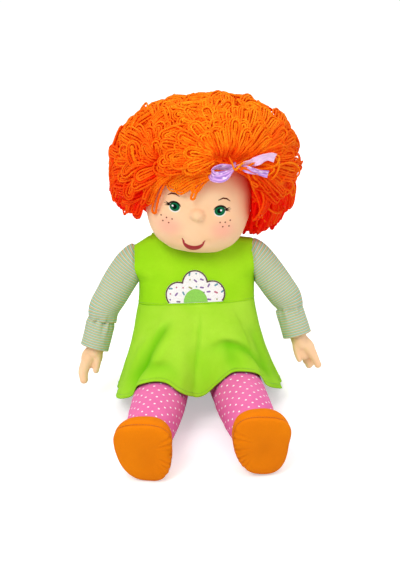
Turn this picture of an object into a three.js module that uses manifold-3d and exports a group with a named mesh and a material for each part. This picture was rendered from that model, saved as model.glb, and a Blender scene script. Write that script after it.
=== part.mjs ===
// A sitting soft doll, about 60 cm tall when it stands: a stuffed cloth body, arms and legs, a
// hollow vinyl head and vinyl hands tied into the cloth, yarn hair, a sleeveless dress and
// stuffed bootie shoes. Millimetres, +Z up, the face looks along -Y, the doll's left is +X.
// The origin is the middle of the flat seat, on the floor.
import * as THREE from "three";
import { mergeVertices } from "three/addons/utils/BufferGeometryUtils.js";
import Module from "manifold-3d";

const wasm = await Module();
wasm.setup();
const rad = THREE.MathUtils.degToRad;

// Cloth and clearances
const cloth = 1.2; // wall of a stuffed cover
const dressCloth = 1.6; // wall of the dress
const gap = 0.4; // between two pieces that touch
const turnGap = 1.4; // between two pieces that turn on each other

// Body. Heights run up the body's own line, which leans back from the seat.
const recline = 17; // degrees the body leans back
const waistHeight = 128;
const armpitHeight = 155;
const shoulderHeight = 200;
const ridgeHeight = 205; // top of the shoulder ridge beside the neck
const shoulderHalf = 75; // middle to the flat where an arm is sewn on
const ridgeHalf = 50; // half the length of the level ridge
const hipHalfWidth = 80;
const waistHalfWidth = 73.5;
const hipHalfDepth = 52;
const waistHalfDepth = 45;
const chestHalfDepth = 30;
const ridgeHalfDepth = 14;

// Neck
const neckPivotHeight = 202; // the ball of the cloth neck turns about this point
const neckBall = 17;
const neckTube = 13.6; // cloth neck round the vinyl throat
const throat = 10.4; // vinyl neck in its tie groove
const throatFlange = 12; // the ring below the groove that keeps the head on
const throatGap = 0.9;
const neckTieWidth = 3.2;
const neckTieWall = 1.6;
const neckLift = 18; // pivot to the underside of the head

// Head, measured from the neck's pivot
const headTilt = 8; // degrees towards the doll's left
const headRecline = 6; // degrees back from upright
const chinLevel = 0;
const crownLevel = 133;
const headHalfWidth = 67;
const faceDepth = 72; // pivot line to the front of the face
const napeDepth = 54; // pivot line to the back of the skull
const vinyl = 2.6; // wall of the head
const noseRadius = 8.5;
const noseLevel = 57;
const capWall = 1.4;

// Hair, as the outer shape of the sewn yarn loops
const hairHalfWidth = 121;
const hairFront = 92;
const hairBack = 98;
const hairTop = 190;
const hairBottom = 19;
const hairLean = 11; // degrees that the yarn hangs back towards upright while the head tilts
const hairShift = 3; // towards the doll's left
const hairCurl = 7; // how far a bunch of loops swells
const hairlineLevel = 116; // top of the bare forehead
const faceHalfWidth = 65; // half the width that the hair leaves bare
const partingLevel = 118; // between the crown and the lower bunches
const napeLine = 22; // between a side bunch and the back bunch

// Ribbon
const ribbonWidth = 11;
const ribbonWall = 1;
const rootReach = 40; // yarn drawn in above the knot
const rootSpread = 31;
const rootDepth = 13;
const endReach = 62; // yarn let out beyond the knot
const endSpread = 23;
const endDepth = 14;
const hollowHalfWidth = 60; // the hollow that holds the tied lock
const hollowHalfDepth = 31;
const hollowHalfHeight = 35;
const knotPlace = 38; // from the middle of the face towards the doll's left
const knotSink = 2; // middle of the knot behind the front of the face
const knotRadius = 5;

// Arms
const armholeRadius = 23;
const armRadius = 21;
const gatherRadius = 16;
const gatherHeight = 106;
const gatherOut = 121; // from the middle to the wrist's gather
const wristSplay = 18; // degrees the forearm leans out
const cuffLength = 29;
const cuffRadius = 17.6;
const wristTieWall = 1.6;
const wristTieWidth = 3;
const wrist = 10.5; // vinyl wrist inside the cuff
const wristGroove = 1.6; // depth of the groove that the tie sits over
const wristFlange = 12.8; // the rim inside the sleeve that keeps the hand on
const handRoot = 12; // heel of the hand, where it comes out of the cuff
const palmLength = 25;
const palmHalfWidth = 13.4;
const palmHalfThick = 9;
const fingerLength = 22;
const fingerRadius = 5.4;

// Legs and shoes
const hipHalf = 41.5; // middle to each hip
const hipFront = 8; // the hips lie this far in front of the body's line
const hipHeight = 35;
const thighRadius = 33;
const ankleRadius = 27.5;
const legLength = 158; // hip to the shoe's top edge
const splayLeft = 8.4; // degrees
const splayRight = 7.7;
const soleRound = 7; // how far the sole's rim rounds in
const shoeLength = 38; // top edge to the sole's outside
const soleWall = 5;
const shoeHeight = 73;
const soleHalfWidth = 33;
const toeFlare = 0.13; // how much wider the toe end is than the middle
const heelFlat = 0.6; // depth of the flat that the shoe stands on

// Dress skirt and its hem
const hemFrontReach = 78;
const hemMiddleHeight = 42;
const hemStandOff = 3.6; // hem above the thighs
const hemReachLeft = 64; // along each thigh from the hip
const hemReachRight = 80;
const hemHalfWidth = 107;
const hemBackReach = 100;
const hemFloorGap = 4;
const skirtFold = 3;

// Appliqué flower and the closure at the back of the dress
const petalRadius = 16.3;
const petalReach = 23.8; // middle of the flower to the middle of a petal
const petalStep = 55; // degrees from petal to petal
const flowerCentre = 15;
const flowerWall = 1;
const tapeWidth = 14;
const tapeLength = 62;
const tapeWall = 1.2;
const tapeTopGap = 14; // the neckline lies this far below the tape's even length

const colours = {
  skin: [0xf2c69c, 0.55],
  yarn: [0xff6a0a, 0.9],
  green: [0x8fd414, 0.85],
  stripes: [0xa9bfa4, 0.9],
  dots: [0xea64ac, 0.85],
  shoe: [0xf08a0c, 0.85],
  ribbon: [0xc79be8, 0.4],
  white: [0xf6f4ee, 0.8],
  leaf: [0x7cc95a, 0.8],
  fibre: [0xf4f2ec, 1],
  lining: [0xe8d8c4, 0.95],
  tie: [0xe9e9e6, 0.5],
};

function material(name) {
  const [color, roughness] = colours[name];
  return new THREE.MeshStandardMaterial({ name, color, roughness, metalness: 0 });
}

// Solids and booleans

function solid(geometry, matrix) {
  const bare = (geometry.index ? geometry.toNonIndexed() : geometry.clone());
  for (const key of Object.keys(bare.attributes)) {
    if (key !== "position") bare.deleteAttribute(key);
  }
  if (matrix) bare.applyMatrix4(matrix);
  const merged = mergeVertices(bare, 1e-4);
  const vertProperties = merged.attributes.position.array;
  const triVerts = new Uint32Array(merged.index.array);
  return new wasm.Manifold(new wasm.Mesh({ numProp: 3, vertProperties, triVerts }));
}

function geometryOf(body) {
  const made = body.getMesh();
  const geometry = new THREE.BufferGeometry();
  geometry.setAttribute("position", new THREE.BufferAttribute(made.vertProperties, 3));
  geometry.setIndex(new THREE.BufferAttribute(made.triVerts, 1));
  return geometry;
}

// A boolean can leave crumbs beside the piece, so the largest body is the piece.
function largest(body) {
  return body.decompose().reduce((a, b) => (b.volume() > a.volume() ? b : a));
}

function add(parent, name, shape, finish) {
  const geometry = shape.isBufferGeometry ? shape : geometryOf(largest(shape));
  const mesh = new THREE.Mesh(geometry, material(finish));
  mesh.name = name;
  parent.add(mesh);
  return mesh;
}

function block(low, high) {
  const size = new THREE.Vector3().subVectors(high, low);
  const middle = new THREE.Vector3().addVectors(low, high).multiplyScalar(0.5);
  return new THREE.BoxGeometry(size.x, size.y, size.z).translate(middle.x, middle.y, middle.z);
}

function ball(centre, radius, wide = 16, high = 10, scale = [1, 1, 1]) {
  return new THREE.SphereGeometry(radius, wide, high)
    .scale(...scale)
    .translate(centre.x, centre.y, centre.z);
}

// A rod of flat ends from one point to another.
function rod(from, to, radius, sides = 16) {
  const line = new THREE.Vector3().subVectors(to, from);
  const turn = new THREE.Quaternion().setFromUnitVectors(
    new THREE.Vector3(0, 1, 0),
    line.clone().normalize(),
  );
  return new THREE.CylinderGeometry(radius, radius, line.length(), sides)
    .applyQuaternion(turn)
    .translate(...new THREE.Vector3().addVectors(from, to).multiplyScalar(0.5).toArray());
}

// A solid of revolution about Z, from a closed profile of [radius, height] pairs.
function turned(profile, sides) {
  const points = profile.map(([r, z]) => new THREE.Vector2(r, z));
  if (THREE.ShapeUtils.isClockWise(points)) points.reverse();
  return new THREE.LatheGeometry([...points, points[0]], sides).rotateX(Math.PI / 2);
}

// A smooth function through a short list of [place, value] pairs, with no overshoot.
function through(stops) {
  const slope = stops.map((stop, i) => {
    if (i === 0 || i === stops.length - 1) return 0;
    const before = (stop[1] - stops[i - 1][1]) / (stop[0] - stops[i - 1][0]);
    const after = (stops[i + 1][1] - stop[1]) / (stops[i + 1][0] - stop[0]);
    return before * after <= 0 ? 0 : (2 * before * after) / (before + after);
  });
  return (place) => {
    if (place <= stops[0][0]) return stops[0][1];
    const i = stops.findIndex((stop) => stop[0] >= place);
    if (i < 0) return stops[stops.length - 1][1];
    const [a, b] = [stops[i - 1], stops[i]];
    const span = b[0] - a[0];
    const t = (place - a[0]) / span;
    const ease = t * t * (3 - 2 * t);
    return (
      a[1] + (b[1] - a[1]) * ease
      + span * (slope[i - 1] * t * (1 - t) ** 2 - slope[i] * t * t * (1 - t))
    );
  };
}

function evenly(from, to, steps) {
  return Array.from({ length: steps + 1 }, (_, i) => from + ((to - from) * i) / steps);
}

// Closes a stack of rings, each a list of points that runs round the way the stack grows.
function loft(rings) {
  const sides = rings[0].length;
  const points = rings.flat();
  const middleOf = (ring) =>
    ring.reduce((sum, p) => sum.add(p), new THREE.Vector3()).multiplyScalar(1 / sides);
  const first = points.push(middleOf(rings[0])) - 1;
  const last = points.push(middleOf(rings[rings.length - 1])) - 1;
  const faces = [];
  for (let j = 0; j < sides; j++) {
    const k = (j + 1) % sides;
    const end = (rings.length - 1) * sides;
    for (let i = 0; i < rings.length - 1; i++) {
      const [a, b] = [i * sides, (i + 1) * sides];
      faces.push(a + j, a + k, b + k, a + j, b + k, b + j);
    }
    faces.push(first, k, j, last, end + j, end + k);
  }
  const geometry = new THREE.BufferGeometry().setFromPoints(points);
  geometry.setIndex(faces);
  return geometry;
}

// A ring with rounded corners round a middle, across u and v. far is its half size along -v.
function oval(middle, u, v, halfU, halfV, power, sides, far = halfV) {
  return Array.from({ length: sides }, (_, j) => {
    const angle = (2 * Math.PI * j) / sides;
    const [c, s] = [Math.cos(angle), Math.sin(angle)];
    const across = halfU * Math.sign(c) * Math.abs(c) ** (2 / power);
    const along = (s > 0 ? halfV : far) * Math.sign(s) * Math.abs(s) ** (2 / power);
    return middle.clone().addScaledVector(u, across).addScaledVector(v, along);
  });
}

const X = new THREE.Vector3(1, 0, 0);
const Y = new THREE.Vector3(0, 1, 0);
const Z = new THREE.Vector3(0, 0, 1);
const at = (x, y, z) => new THREE.Vector3(x, y, z);
const far = 400; // reach of a cutting block

const doll = new THREE.Group();

// The body's own frame: its line leans back from the seat.
const body = new THREE.Group();
body.rotation.x = -rad(recline);
doll.add(body);
body.updateMatrixWorld(true);
const fromBody = body.matrixWorld;
const toBody = fromBody.clone().invert();

const shoulderBulge = shoulderHalf * 1.28;
const armCentre = (armpitHeight + shoulderHeight) / 2;
const bodyHalfWidth = through([
  [-12, hipHalfWidth * 0.6],
  [14, hipHalfWidth * 0.93],
  [45, hipHalfWidth],
  [waistHeight, waistHalfWidth],
  [armpitHeight, waistHalfWidth + 1],
  [armCentre, shoulderBulge],
  [shoulderHeight - 4, shoulderHalf * 1.12],
  [shoulderHeight, shoulderHalf + 2],
  [ridgeHeight - 2, ridgeHalf + 10],
  [ridgeHeight, ridgeHalf],
]);
const bodyHalfDepth = through([
  [-12, hipHalfDepth * 0.72],
  [14, hipHalfDepth * 0.94],
  [50, hipHalfDepth],
  [waistHeight, waistHalfDepth],
  [armCentre, chestHalfDepth],
  [shoulderHeight - 4, chestHalfDepth * 0.75],
  [shoulderHeight + 2, ridgeHalfDepth * 1.25],
  [ridgeHeight, ridgeHalfDepth],
]);
const bodySides = 20;
const bodyLevels = [
  -12, 14, 50, 90, waistHeight, armpitHeight, armpitHeight * 0.4 + armCentre * 0.6,
  (armCentre + shoulderHeight) / 2, shoulderHeight - 3, shoulderHeight + 3, ridgeHeight,
];

// The stuffed body, grown by a cloth's thickness all round.
function bodyForm(grow) {
  const rings = bodyLevels.map((height, i) => {
    const rise = height + (i === bodyLevels.length - 1 ? grow : 0);
    const [width, depth] = [bodyHalfWidth(height) + grow, bodyHalfDepth(height) + grow];
    return oval(at(0, 0, rise), X, Y, width, depth, 2.4, bodySides);
  });
  return solid(loft(rings));
}

function sideFlats(half) {
  return solid(block(at(-half, -far, -far), at(half, far, far)));
}

// Hips: each leg ends in a ball, and the body has a pocket for it and room for the thigh to drop.
function hipMiddle(side) {
  return at(side * hipHalf, -hipFront, hipHeight);
}

function legFrame(side) {
  const frame = new THREE.Group();
  frame.position.copy(hipMiddle(side));
  frame.scale.x = side;
  frame.rotation.z = side * rad(side > 0 ? splayLeft : splayRight);
  frame.updateMatrixWorld(true);
  return frame;
}

function legRoom(clearance, sides) {
  const radius = thighRadius + clearance;
  const low = at(-far, -far, -far);
  const high = at(far, radius - hipFront, hipHeight + clearance - turnGap);
  let room = solid(block(low, high));
  for (const side of [1, -1]) {
    const hip = hipMiddle(side);
    const ahead = at(0, -far, 0).applyMatrix4(legFrame(side).matrixWorld);
    const end = solid(ball(hip, radius, sides, sides / 2));
    room = room.add(end).add(solid(rod(hip, ahead, radius, sides)));
  }
  return room;
}

function neckPivot() {
  return at(0, 0, neckPivotHeight).applyMatrix4(fromBody);
}

// The stuffed body with its seat, pockets and neck socket, all grown together. The inside of the
// cover is plainer, so its pockets stand off a little further.
function bodySolid(grow) {
  const [sides, standOff] = grow < 0 ? [12, 2.6] : [20, 0];
  const aboveFloor = solid(block(at(-far, -far, -grow), at(far, far, far)), toBody);
  const legs = legRoom(turnGap - grow + standOff, sides);
  const socket = ball(at(0, 0, neckPivotHeight), neckBall + turnGap - grow, 16, 10);
  return bodyForm(grow)
    .intersect(sideFlats(shoulderHalf + grow))
    .intersect(aboveFloor)
    .subtract(solid(geometryOf(legs), toBody))
    .subtract(solid(socket));
}

const neckHole = solid(
  rod(at(0, 0, neckPivotHeight - neckBall - 3 * cloth), at(0, 0, neckPivotHeight), throat, 14),
);
add(body, "body_cover", bodySolid(0).subtract(bodySolid(-cloth)).subtract(neckHole), "lining");
add(body, "body_filling", bodySolid(-cloth - gap), "fibre");

// Dress bodice: the body's own form, a little larger, with armholes, a neckline and a back opening.
const dressIn = gap;
const dressOut = gap + dressCloth;
const neckline = neckBall + 8;
function bodice() {
  const aboveWaist = solid(block(at(-far, -far, waistHeight), at(far, far, far)));
  const neck = solid(rod(at(0, 0, armCentre), at(0, 0, far), neckline, 20));
  return bodyForm(dressOut)
    .subtract(bodyForm(dressIn))
    .intersect(aboveWaist)
    .intersect(sideFlats(shoulderHalf + dressCloth))
    .subtract(neck);
}
add(body, "dress_bodice", bodice(), "green");

// Skirt: from the waist seam to a hem that lies over the thighs and falls to the floor beside them.
const skirtSides = 48;
const skirtRows = 5;

function thighPoint(side, angle, reach, stand) {
  const frame = legFrame(side).matrixWorld;
  const radius = thighRadius + stand;
  return at(radius * Math.cos(angle), -reach, radius * Math.sin(angle)).applyMatrix4(frame);
}

function hemCurve() {
  const half = (side, reach) => [
    ...[140, 108, 76, 44, 12].map((angle) =>
      thighPoint(side, rad(angle), reach - Math.max(0, 76 - angle) * 0.2, hemStandOff),
    ),
    at(side * hemHalfWidth * 0.97, -reach * 0.4, hemFloorGap * 5.5),
    at(side * hemHalfWidth, 0, hemFloorGap * 3),
    at(side * hemHalfWidth * 0.96, hemBackReach * 0.45, hemFloorGap),
    at(side * hemHalfWidth * 0.66, hemBackReach * 0.84, hemFloorGap),
  ];
  const front = at(0, -hemFrontReach, hemMiddleHeight);
  const back = at(0, hemBackReach, hemFloorGap);
  const points = [front, ...half(1, hemReachLeft), back, ...half(-1, hemReachRight).reverse()];
  return new THREE.CatmullRomCurve3(points, true, "catmullrom", 0.5);
}

function skirt() {
  const hem = hemCurve().getSpacedPoints(skirtSides).slice(0, skirtSides);
  const seam = waistHeight - gap;
  const middle = at(0, 0, seam).applyMatrix4(fromBody);
  const grid = hem.map((low, j) => {
    const turn = Math.atan2(low.y - middle.y * 0.5, low.x);
    const [c, s] = [Math.cos(turn), Math.sin(turn)];
    const width = bodyHalfWidth(seam) + dressOut;
    const depth = bodyHalfDepth(seam) + dressOut;
    const size = (Math.abs(c / width) ** 2.4 + Math.abs(s / depth) ** 2.4) ** (-1 / 2.4);
    const high = at(c * size, s * size, seam).applyMatrix4(fromBody);
    const out = at(c, s, 0);
    return evenly(0, 1, skirtRows).map((t) => {
      const wave = low.z < hipHeight ? skirtFold * t * Math.cos((Math.PI * j) / 2) : 0;
      const swell = 6 * Math.sin(Math.PI * t) * (s < 0 ? 1 : 0.4);
      const fold = wave * (1 - (low.z - hemFloorGap) / hipHeight);
      return high.clone().lerp(low, t).addScaledVector(out, swell + fold);
    });
  });
  const ringOf = (shift) =>
    grid.map((column, j) => {
      const next = grid[(j + 1) % skirtSides];
      const before = grid[(j + skirtSides - 1) % skirtSides];
      return column.map((point, i) => {
        const along = column[Math.min(i + 1, skirtRows)].clone().sub(column[Math.max(i - 1, 0)]);
        const round = next[i].clone().sub(before[i]);
        const normal = round.cross(along).normalize();
        return point.clone().addScaledVector(normal, shift);
      });
    });
  const outer = ringOf(0);
  const inner = ringOf(dressCloth);
  const loop = skirtRows + 1;
  const points = outer.flatMap((column, j) => [...column, ...inner[j].slice().reverse()]);
  const faces = [];
  for (let j = 0; j < skirtSides; j++) {
    const [a, b] = [j * 2 * loop, ((j + 1) % skirtSides) * 2 * loop];
    for (let i = 0; i < 2 * loop; i++) {
      const k = (i + 1) % (2 * loop);
      faces.push(a + i, a + k, b + k, a + i, b + k, b + i);
    }
  }
  const geometry = new THREE.BufferGeometry().setFromPoints(points);
  geometry.setIndex(faces);
  return geometry;
}
add(doll, "dress_skirt", skirt(), "green");

// Appliqué: half a flower, three petals round a centre, sewn to the bodice above the waist seam.
const flowerSeat = dressOut + gap;
const onDress = bodyForm(flowerSeat + flowerWall).subtract(bodyForm(flowerSeat));
const flowerBase = waistHeight + 2;

function petalOutline() {
  const step = rad(petalStep);
  const notch = Math.PI / 2 + step / 2 - Math.acos((petalReach / petalRadius) * Math.sin(step / 2));
  const outline = [-1, 0, 1].flatMap((k) => {
    const angle = Math.PI / 2 + k * step;
    const middle = new THREE.Vector2(Math.cos(angle) * petalReach, Math.sin(angle) * petalReach);
    const base = Math.asin(middle.y / petalRadius);
    const from = k < 0 ? -base : angle - notch;
    const to = k > 0 ? Math.PI + base : angle + notch;
    return evenly(from, to, 7).slice(0, k > 0 ? 8 : 7).map((turn) => {
      const spoke = new THREE.Vector2(petalRadius * Math.cos(turn), petalRadius * Math.sin(turn));
      return spoke.add(middle);
    });
  });
  return new THREE.Shape(outline);
}

function halfDisc(radius) {
  return new THREE.Shape().absarc(0, 0, radius, 0, Math.PI, false);
}

// A flat outline pushed through the front of the dress, as a tool to cut the appliqué's pieces.
function throughFront(shape) {
  const prism = new THREE.ExtrudeGeometry(shape, { depth: far, bevelEnabled: false, curveSegments: 6 });
  return solid(prism.rotateX(Math.PI / 2).translate(0, 0, flowerBase));
}
const flowerCut = throughFront(halfDisc(flowerCentre + gap));
add(body, "flower_petals", onDress.intersect(throughFront(petalOutline())).subtract(flowerCut), "white");
add(body, "flower_centre", onDress.intersect(throughFront(halfDisc(flowerCentre))), "leaf");

// Closure: a hook tape and a loop tape, one on each side of the opening down the back.
const onBack = bodyForm(flowerSeat + tapeWall).subtract(bodyForm(flowerSeat));
for (const [name, side] of [["back_hook_tape", 1], ["back_loop_tape", -1]]) {
  const [inner, outer] = [side * gap, side * (tapeWidth + gap)];
  const low = at(Math.min(inner, outer), 0, armCentre - tapeLength / 2);
  const high = at(Math.max(inner, outer), far, armCentre + tapeLength / 2 - tapeTopGap);
  add(body, name, onBack.intersect(solid(block(low, high))), "white");
}

// Arms, built for the doll's left side and mirrored for its right.
function armForm(grow, sides, from) {
  const lean = Math.tan(rad(wristSplay));
  const line = new THREE.CatmullRomCurve3([
    at(shoulderHalf - 16, 0, armCentre + 9),
    at(shoulderHalf + 2, -2, armCentre - 1),
    at(shoulderHalf + 14, -4, armCentre - 18),
    at((shoulderHalf + gatherOut) / 2 + 4, -6, (armCentre + gatherHeight) / 2 - 3),
    at(gatherOut - 14 * lean, -6, gatherHeight + 15),
    at(gatherOut - lean, -5, gatherHeight + 1),
  ]);
  const radius = through([
    [0, armholeRadius], [0.35, armholeRadius - 1], [0.6, armRadius], [0.85, gatherRadius + 2.5],
    [1, gatherRadius],
  ]);
  const rings = evenly(from, 1, 7).map((t) => {
    const across = Y.clone().cross(line.getTangentAt(t)).normalize();
    const size = radius(t) + grow;
    return oval(line.getPointAt(t), across, Y, size, size * 1.03, 2, sides);
  });
  return solid(loft(rings));
}

const armPlane = shoulderHalf + dressCloth + gap; // the arm stands outside the dress from here
const armSeam = shoulderHalf + gap;
const seamDisc = armholeRadius - 6;
const armOut = (from) => solid(block(at(from, -far, -far), at(far, far, far)));

function wristFrame() {
  const frame = new THREE.Group();
  frame.position.set(gatherOut, -5, gatherHeight);
  frame.rotation.y = -rad(wristSplay);
  frame.updateMatrixWorld(true);
  return frame;
}

// Where the wrist's parts lie, down the forearm from the gather
const tieLow = -wristTieWidth;
const cuffTop = tieLow - wristTieWidth - gap;
const cuffEnd = cuffTop - cuffLength;
const collarTop = 2.6;
const stubTop = wristTieWidth * 2.6;

function sleeve() {
  const inside = armForm(-cloth, 11, 0).intersect(armOut(armPlane + cloth));
  const seamEnd = at(armPlane + cloth / 2, 0, armCentre);
  const seam = solid(rod(at(armSeam, 0, armCentre), seamEnd, seamDisc, 14));
  const mouth = gatherRadius - wristTieWall;
  const brim = gatherRadius - cloth / 2;
  const collar = turned([
    [0, cuffTop + gap], [mouth, cuffTop + gap], [mouth, 0],
    [brim, 0.6], [brim, collarTop], [0, collarTop],
  ], 15);
  const bore = solid(
    rod(at(0, 0, cuffTop - 5), at(0, 0, stubTop + turnGap), wrist + turnGap, 14),
    wristFrame().matrix,
  );
  return armForm(0, 15, 0)
    .intersect(armOut(armPlane))
    .subtract(inside)
    .add(seam)
    .add(solid(collar, wristFrame().matrix))
    .subtract(bore);
}

function armFilling() {
  const stub = solid(
    rod(at(0, 0, cuffTop - 9), at(0, 0, stubTop + turnGap + cloth + gap), gatherRadius, 14),
    wristFrame().matrix,
  );
  return armForm(-cloth - 2 * gap, 11, 0).intersect(armOut(armPlane + cloth + gap)).subtract(stub);
}

// A soft ring whose outside flares to its open end, like a turned cuff.
function cuff() {
  return turned([
    [wrist + 1.2, cuffTop], [gatherRadius - 0.6, cuffTop],
    [cuffRadius - 0.5, cuffTop - cuffLength * 0.3], [cuffRadius, cuffEnd],
    [cuffRadius - cloth, cuffEnd], [cuffRadius - cloth - 0.6, cuffTop - cuffLength * 0.35],
    [wrist + 1.2, cuffTop - 4],
  ], 18);
}

function wristTie() {
  const inner = gatherRadius - wristTieWall + 0.3;
  return turned([
    [inner, cuffTop + 2 * gap], [inner + wristTieWall, cuffTop + 2 * gap],
    [inner + wristTieWall, cuffTop + 2 * gap + wristTieWidth], [inner, cuffTop + 2 * gap + wristTieWidth],
  ], 16);
}

// A rounded finger from one point to another.
function finger(from, to, radius) {
  const line = new THREE.Vector3().subVectors(to, from);
  const turn = new THREE.Quaternion().setFromUnitVectors(Y, line.clone().normalize());
  const middle = new THREE.Vector3().addVectors(from, to).multiplyScalar(0.5);
  return new THREE.CapsuleGeometry(radius, line.length(), 2, 7)
    .applyQuaternion(turn)
    .translate(...middle.toArray());
}

// A baby's hand: wrist with a tie groove, a palm, a thumb, a free first finger and three together.
function hand() {
  const knuckles = cuffEnd - palmLength;
  const stub = turned([
    [0, stubTop], [wristFlange, stubTop], [wristFlange, collarTop + gap], [wrist, collarTop + gap],
    [wrist, wristTieWidth * 0.4], [wrist - wristGroove, -wristTieWidth * 0.4],
    [wrist - wristGroove, cuffTop + gap], [wrist, cuffTop - 4], [handRoot, cuffEnd + 5],
    [handRoot - 1, cuffEnd - 4], [0, cuffEnd - 4],
  ], 12);
  const palm = ball(at(0, 0, 0), 1, 12, 8, [palmHalfWidth, palmHalfThick, palmLength * 0.72]);
  palm.translate(1, 0, cuffEnd - palmLength * 0.52);
  const thumb = finger(
    at(-palmHalfWidth * 0.55, -2, cuffEnd - palmLength * 0.3),
    at(-palmHalfWidth - 1, -5, knuckles - 2),
    fingerRadius,
  );
  const first = finger(
    at(palmHalfWidth * 0.5, -1, knuckles + 4),
    at(palmHalfWidth * 0.95, -5, knuckles - fingerLength + 3),
    fingerRadius,
  );
  let made = solid(stub).add(solid(palm)).add(solid(thumb)).add(solid(first));
  for (const [place, back] of [[0.05, 0], [-0.3, 1.5]]) {
    const root = at(palmHalfWidth * (place + 0.3), 1 + back, knuckles + 5);
    const tip = at(palmHalfWidth * (place + 0.25), 1 + 2 * back, knuckles - fingerLength + 6);
    made = made.add(solid(finger(root, tip, fingerRadius)));
  }
  return made;
}

for (const [name, side] of [["left", 1], ["right", -1]]) {
  const arm = new THREE.Group();
  arm.scale.x = side;
  body.add(arm);
  add(arm, `arm_sleeve_${name}`, sleeve(), "stripes");
  add(arm, `arm_filling_${name}`, armFilling(), "fibre");
  const forearm = wristFrame();
  arm.add(forearm);
  add(forearm, `wrist_tie_${name}`, wristTie(), "tie");
  add(forearm, `sleeve_cuff_${name}`, cuff(), "stripes");
  add(forearm, `hand_${name}`, hand(), "skin");
}

// Legs, built along -Y from the hip and mirrored by their frames.
const legCentre = through([[0, 0], [legLength * 0.5, -0.5], [legLength, 1.5]]);
const legRadius = through([
  [0, thighRadius], [legLength * 0.45, thighRadius], [legLength * 0.8, (thighRadius + ankleRadius) / 2],
  [legLength, ankleRadius],
]);

function legForm(grow, sides, reach) {
  const start = thighRadius + grow;
  const cap = [0.98, 0.86, 0.62, 0.3].map((share) => {
    const size = start * Math.sqrt(1 - share * share);
    return oval(at(0, start * share, 0), X, Z, size, size, 2, sides);
  });
  const tube = evenly(0, 1, 6).map((share) => {
    const place = reach * share;
    const size = legRadius(place) + grow;
    return oval(at(0, -place, legCentre(place)), X, Z, size, size, 2, sides);
  });
  return solid(loft([...cap, ...tube]));
}

// A bootie's outside: it opens from the ankle to the wide toe end and stands on its heel.
const heel = -hipHeight; // the floor, from the hip
const ankleMiddle = legCentre(legLength);
const shoeStart = legLength + gap;
const soleStart = legLength + shoeLength - soleWall;
const shoeTop = through([
  [0, ankleMiddle + ankleRadius + 1], [0.4, heel + shoeHeight - 4], [1, heel + shoeHeight],
]);
const shoeBottom = through([
  [0, ankleMiddle - ankleRadius - 1], [0.35, heel + 1.5], [0.7, heel - heelFlat], [1, heel - heelFlat],
]);
const aboveHeel = solid(block(at(-far, -far, heel), at(far, far, far)));
const shoeHalf = through([[0, ankleRadius + 1], [0.5, soleHalfWidth - 2], [1, soleHalfWidth]]);

function shoeRing(place, grow, sides) {
  const share = (place - shoeStart) / (soleStart - shoeStart);
  const [top, bottom] = [shoeTop(share) + grow, shoeBottom(share) - grow];
  const middle = bottom + (top - bottom) * 0.56;
  const half = shoeHalf(share) + grow;
  const ring = oval(at(0, -place, middle), X, Z, half, top - middle, 2.3, sides, middle - bottom);
  for (const point of ring) point.x *= 1 + (toeFlare * share * (point.z - middle)) / half;
  return ring;
}

function shoeForm(grow, sides, from, to, steps) {
  return solid(loft(evenly(from, to, steps).map((place) => shoeRing(place, grow, sides))));
}

function sole() {
  const rings = [0, 0.35, 0.75, 1].map((share) => {
    const place = soleStart + gap + (soleWall - gap) * share;
    return shoeRing(soleStart, -soleRound * share ** 3, 22).map((point) => point.setY(-place));
  });
  return solid(loft(rings)).intersect(aboveHeel);
}

for (const [name, side] of [["left", 1], ["right", -1]]) {
  const leg = legFrame(side);
  doll.add(leg);
  const cover = legForm(0, 17, legLength).subtract(legForm(-cloth, 11, legLength + 5));
  add(leg, `leg_${name}`, cover, "dots");
  add(leg, `leg_filling_${name}`, legForm(-cloth - gap, 11, legLength - gap / 2), "fibre");
  const upper = shoeForm(0, 22, shoeStart, soleStart, 4)
    .intersect(aboveHeel)
    .subtract(shoeForm(-cloth - heelFlat, 16, shoeStart - 1, soleStart + 1, 4));
  add(leg, `shoe_upper_${name}`, upper, "shoe");
  add(
    leg,
    `shoe_filling_${name}`,
    shoeForm(-cloth - heelFlat - 2 * gap, 16, shoeStart, soleStart - gap, 4),
    "fibre",
  );
  add(leg, `shoe_sole_${name}`, sole(), "shoe");
}

// Neck and head. Both are built about the neck's pivot, up the head's own line.
const head = new THREE.Group();
head.position.copy(neckPivot());
head.rotation.set(-rad(headRecline), rad(headTilt), 0, "YXZ");
doll.add(head);
head.updateMatrixWorld(true);

const tieLevel = neckLift - neckTieWidth - 3;
function neckCloth() {
  const edge = Math.sqrt(neckBall ** 2 - neckTube ** 2);
  const bowl = evenly(-Math.PI / 2, Math.atan2(edge, neckTube), 6).map((angle) => [
    neckBall * Math.cos(angle), neckBall * Math.sin(angle),
  ]);
  const pinch = neckTube - neckTieWall;
  const bore = throatFlange + turnGap;
  return turned([
    ...bowl, [pinch, tieLevel - 0.3], [pinch, tieLevel + neckTieWidth + 0.3],
    [neckTube - 0.6, neckLift - gap], [throat + throatGap, neckLift - gap],
    [throat + throatGap, tieLevel - 1], [bore, tieLevel - 3], [bore, -1], [0, -1],
  ], 16);
}
add(head, "neck_cloth", neckCloth(), "lining");

function neckTie() {
  const inner = neckTube - neckTieWall + 0.35;
  return turned([
    [inner, tieLevel], [inner + neckTieWall, tieLevel],
    [inner + neckTieWall, tieLevel + neckTieWidth], [inner, tieLevel + neckTieWidth],
  ], 20);
}
add(head, "neck_tie", neckTie(), "tie");

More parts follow.
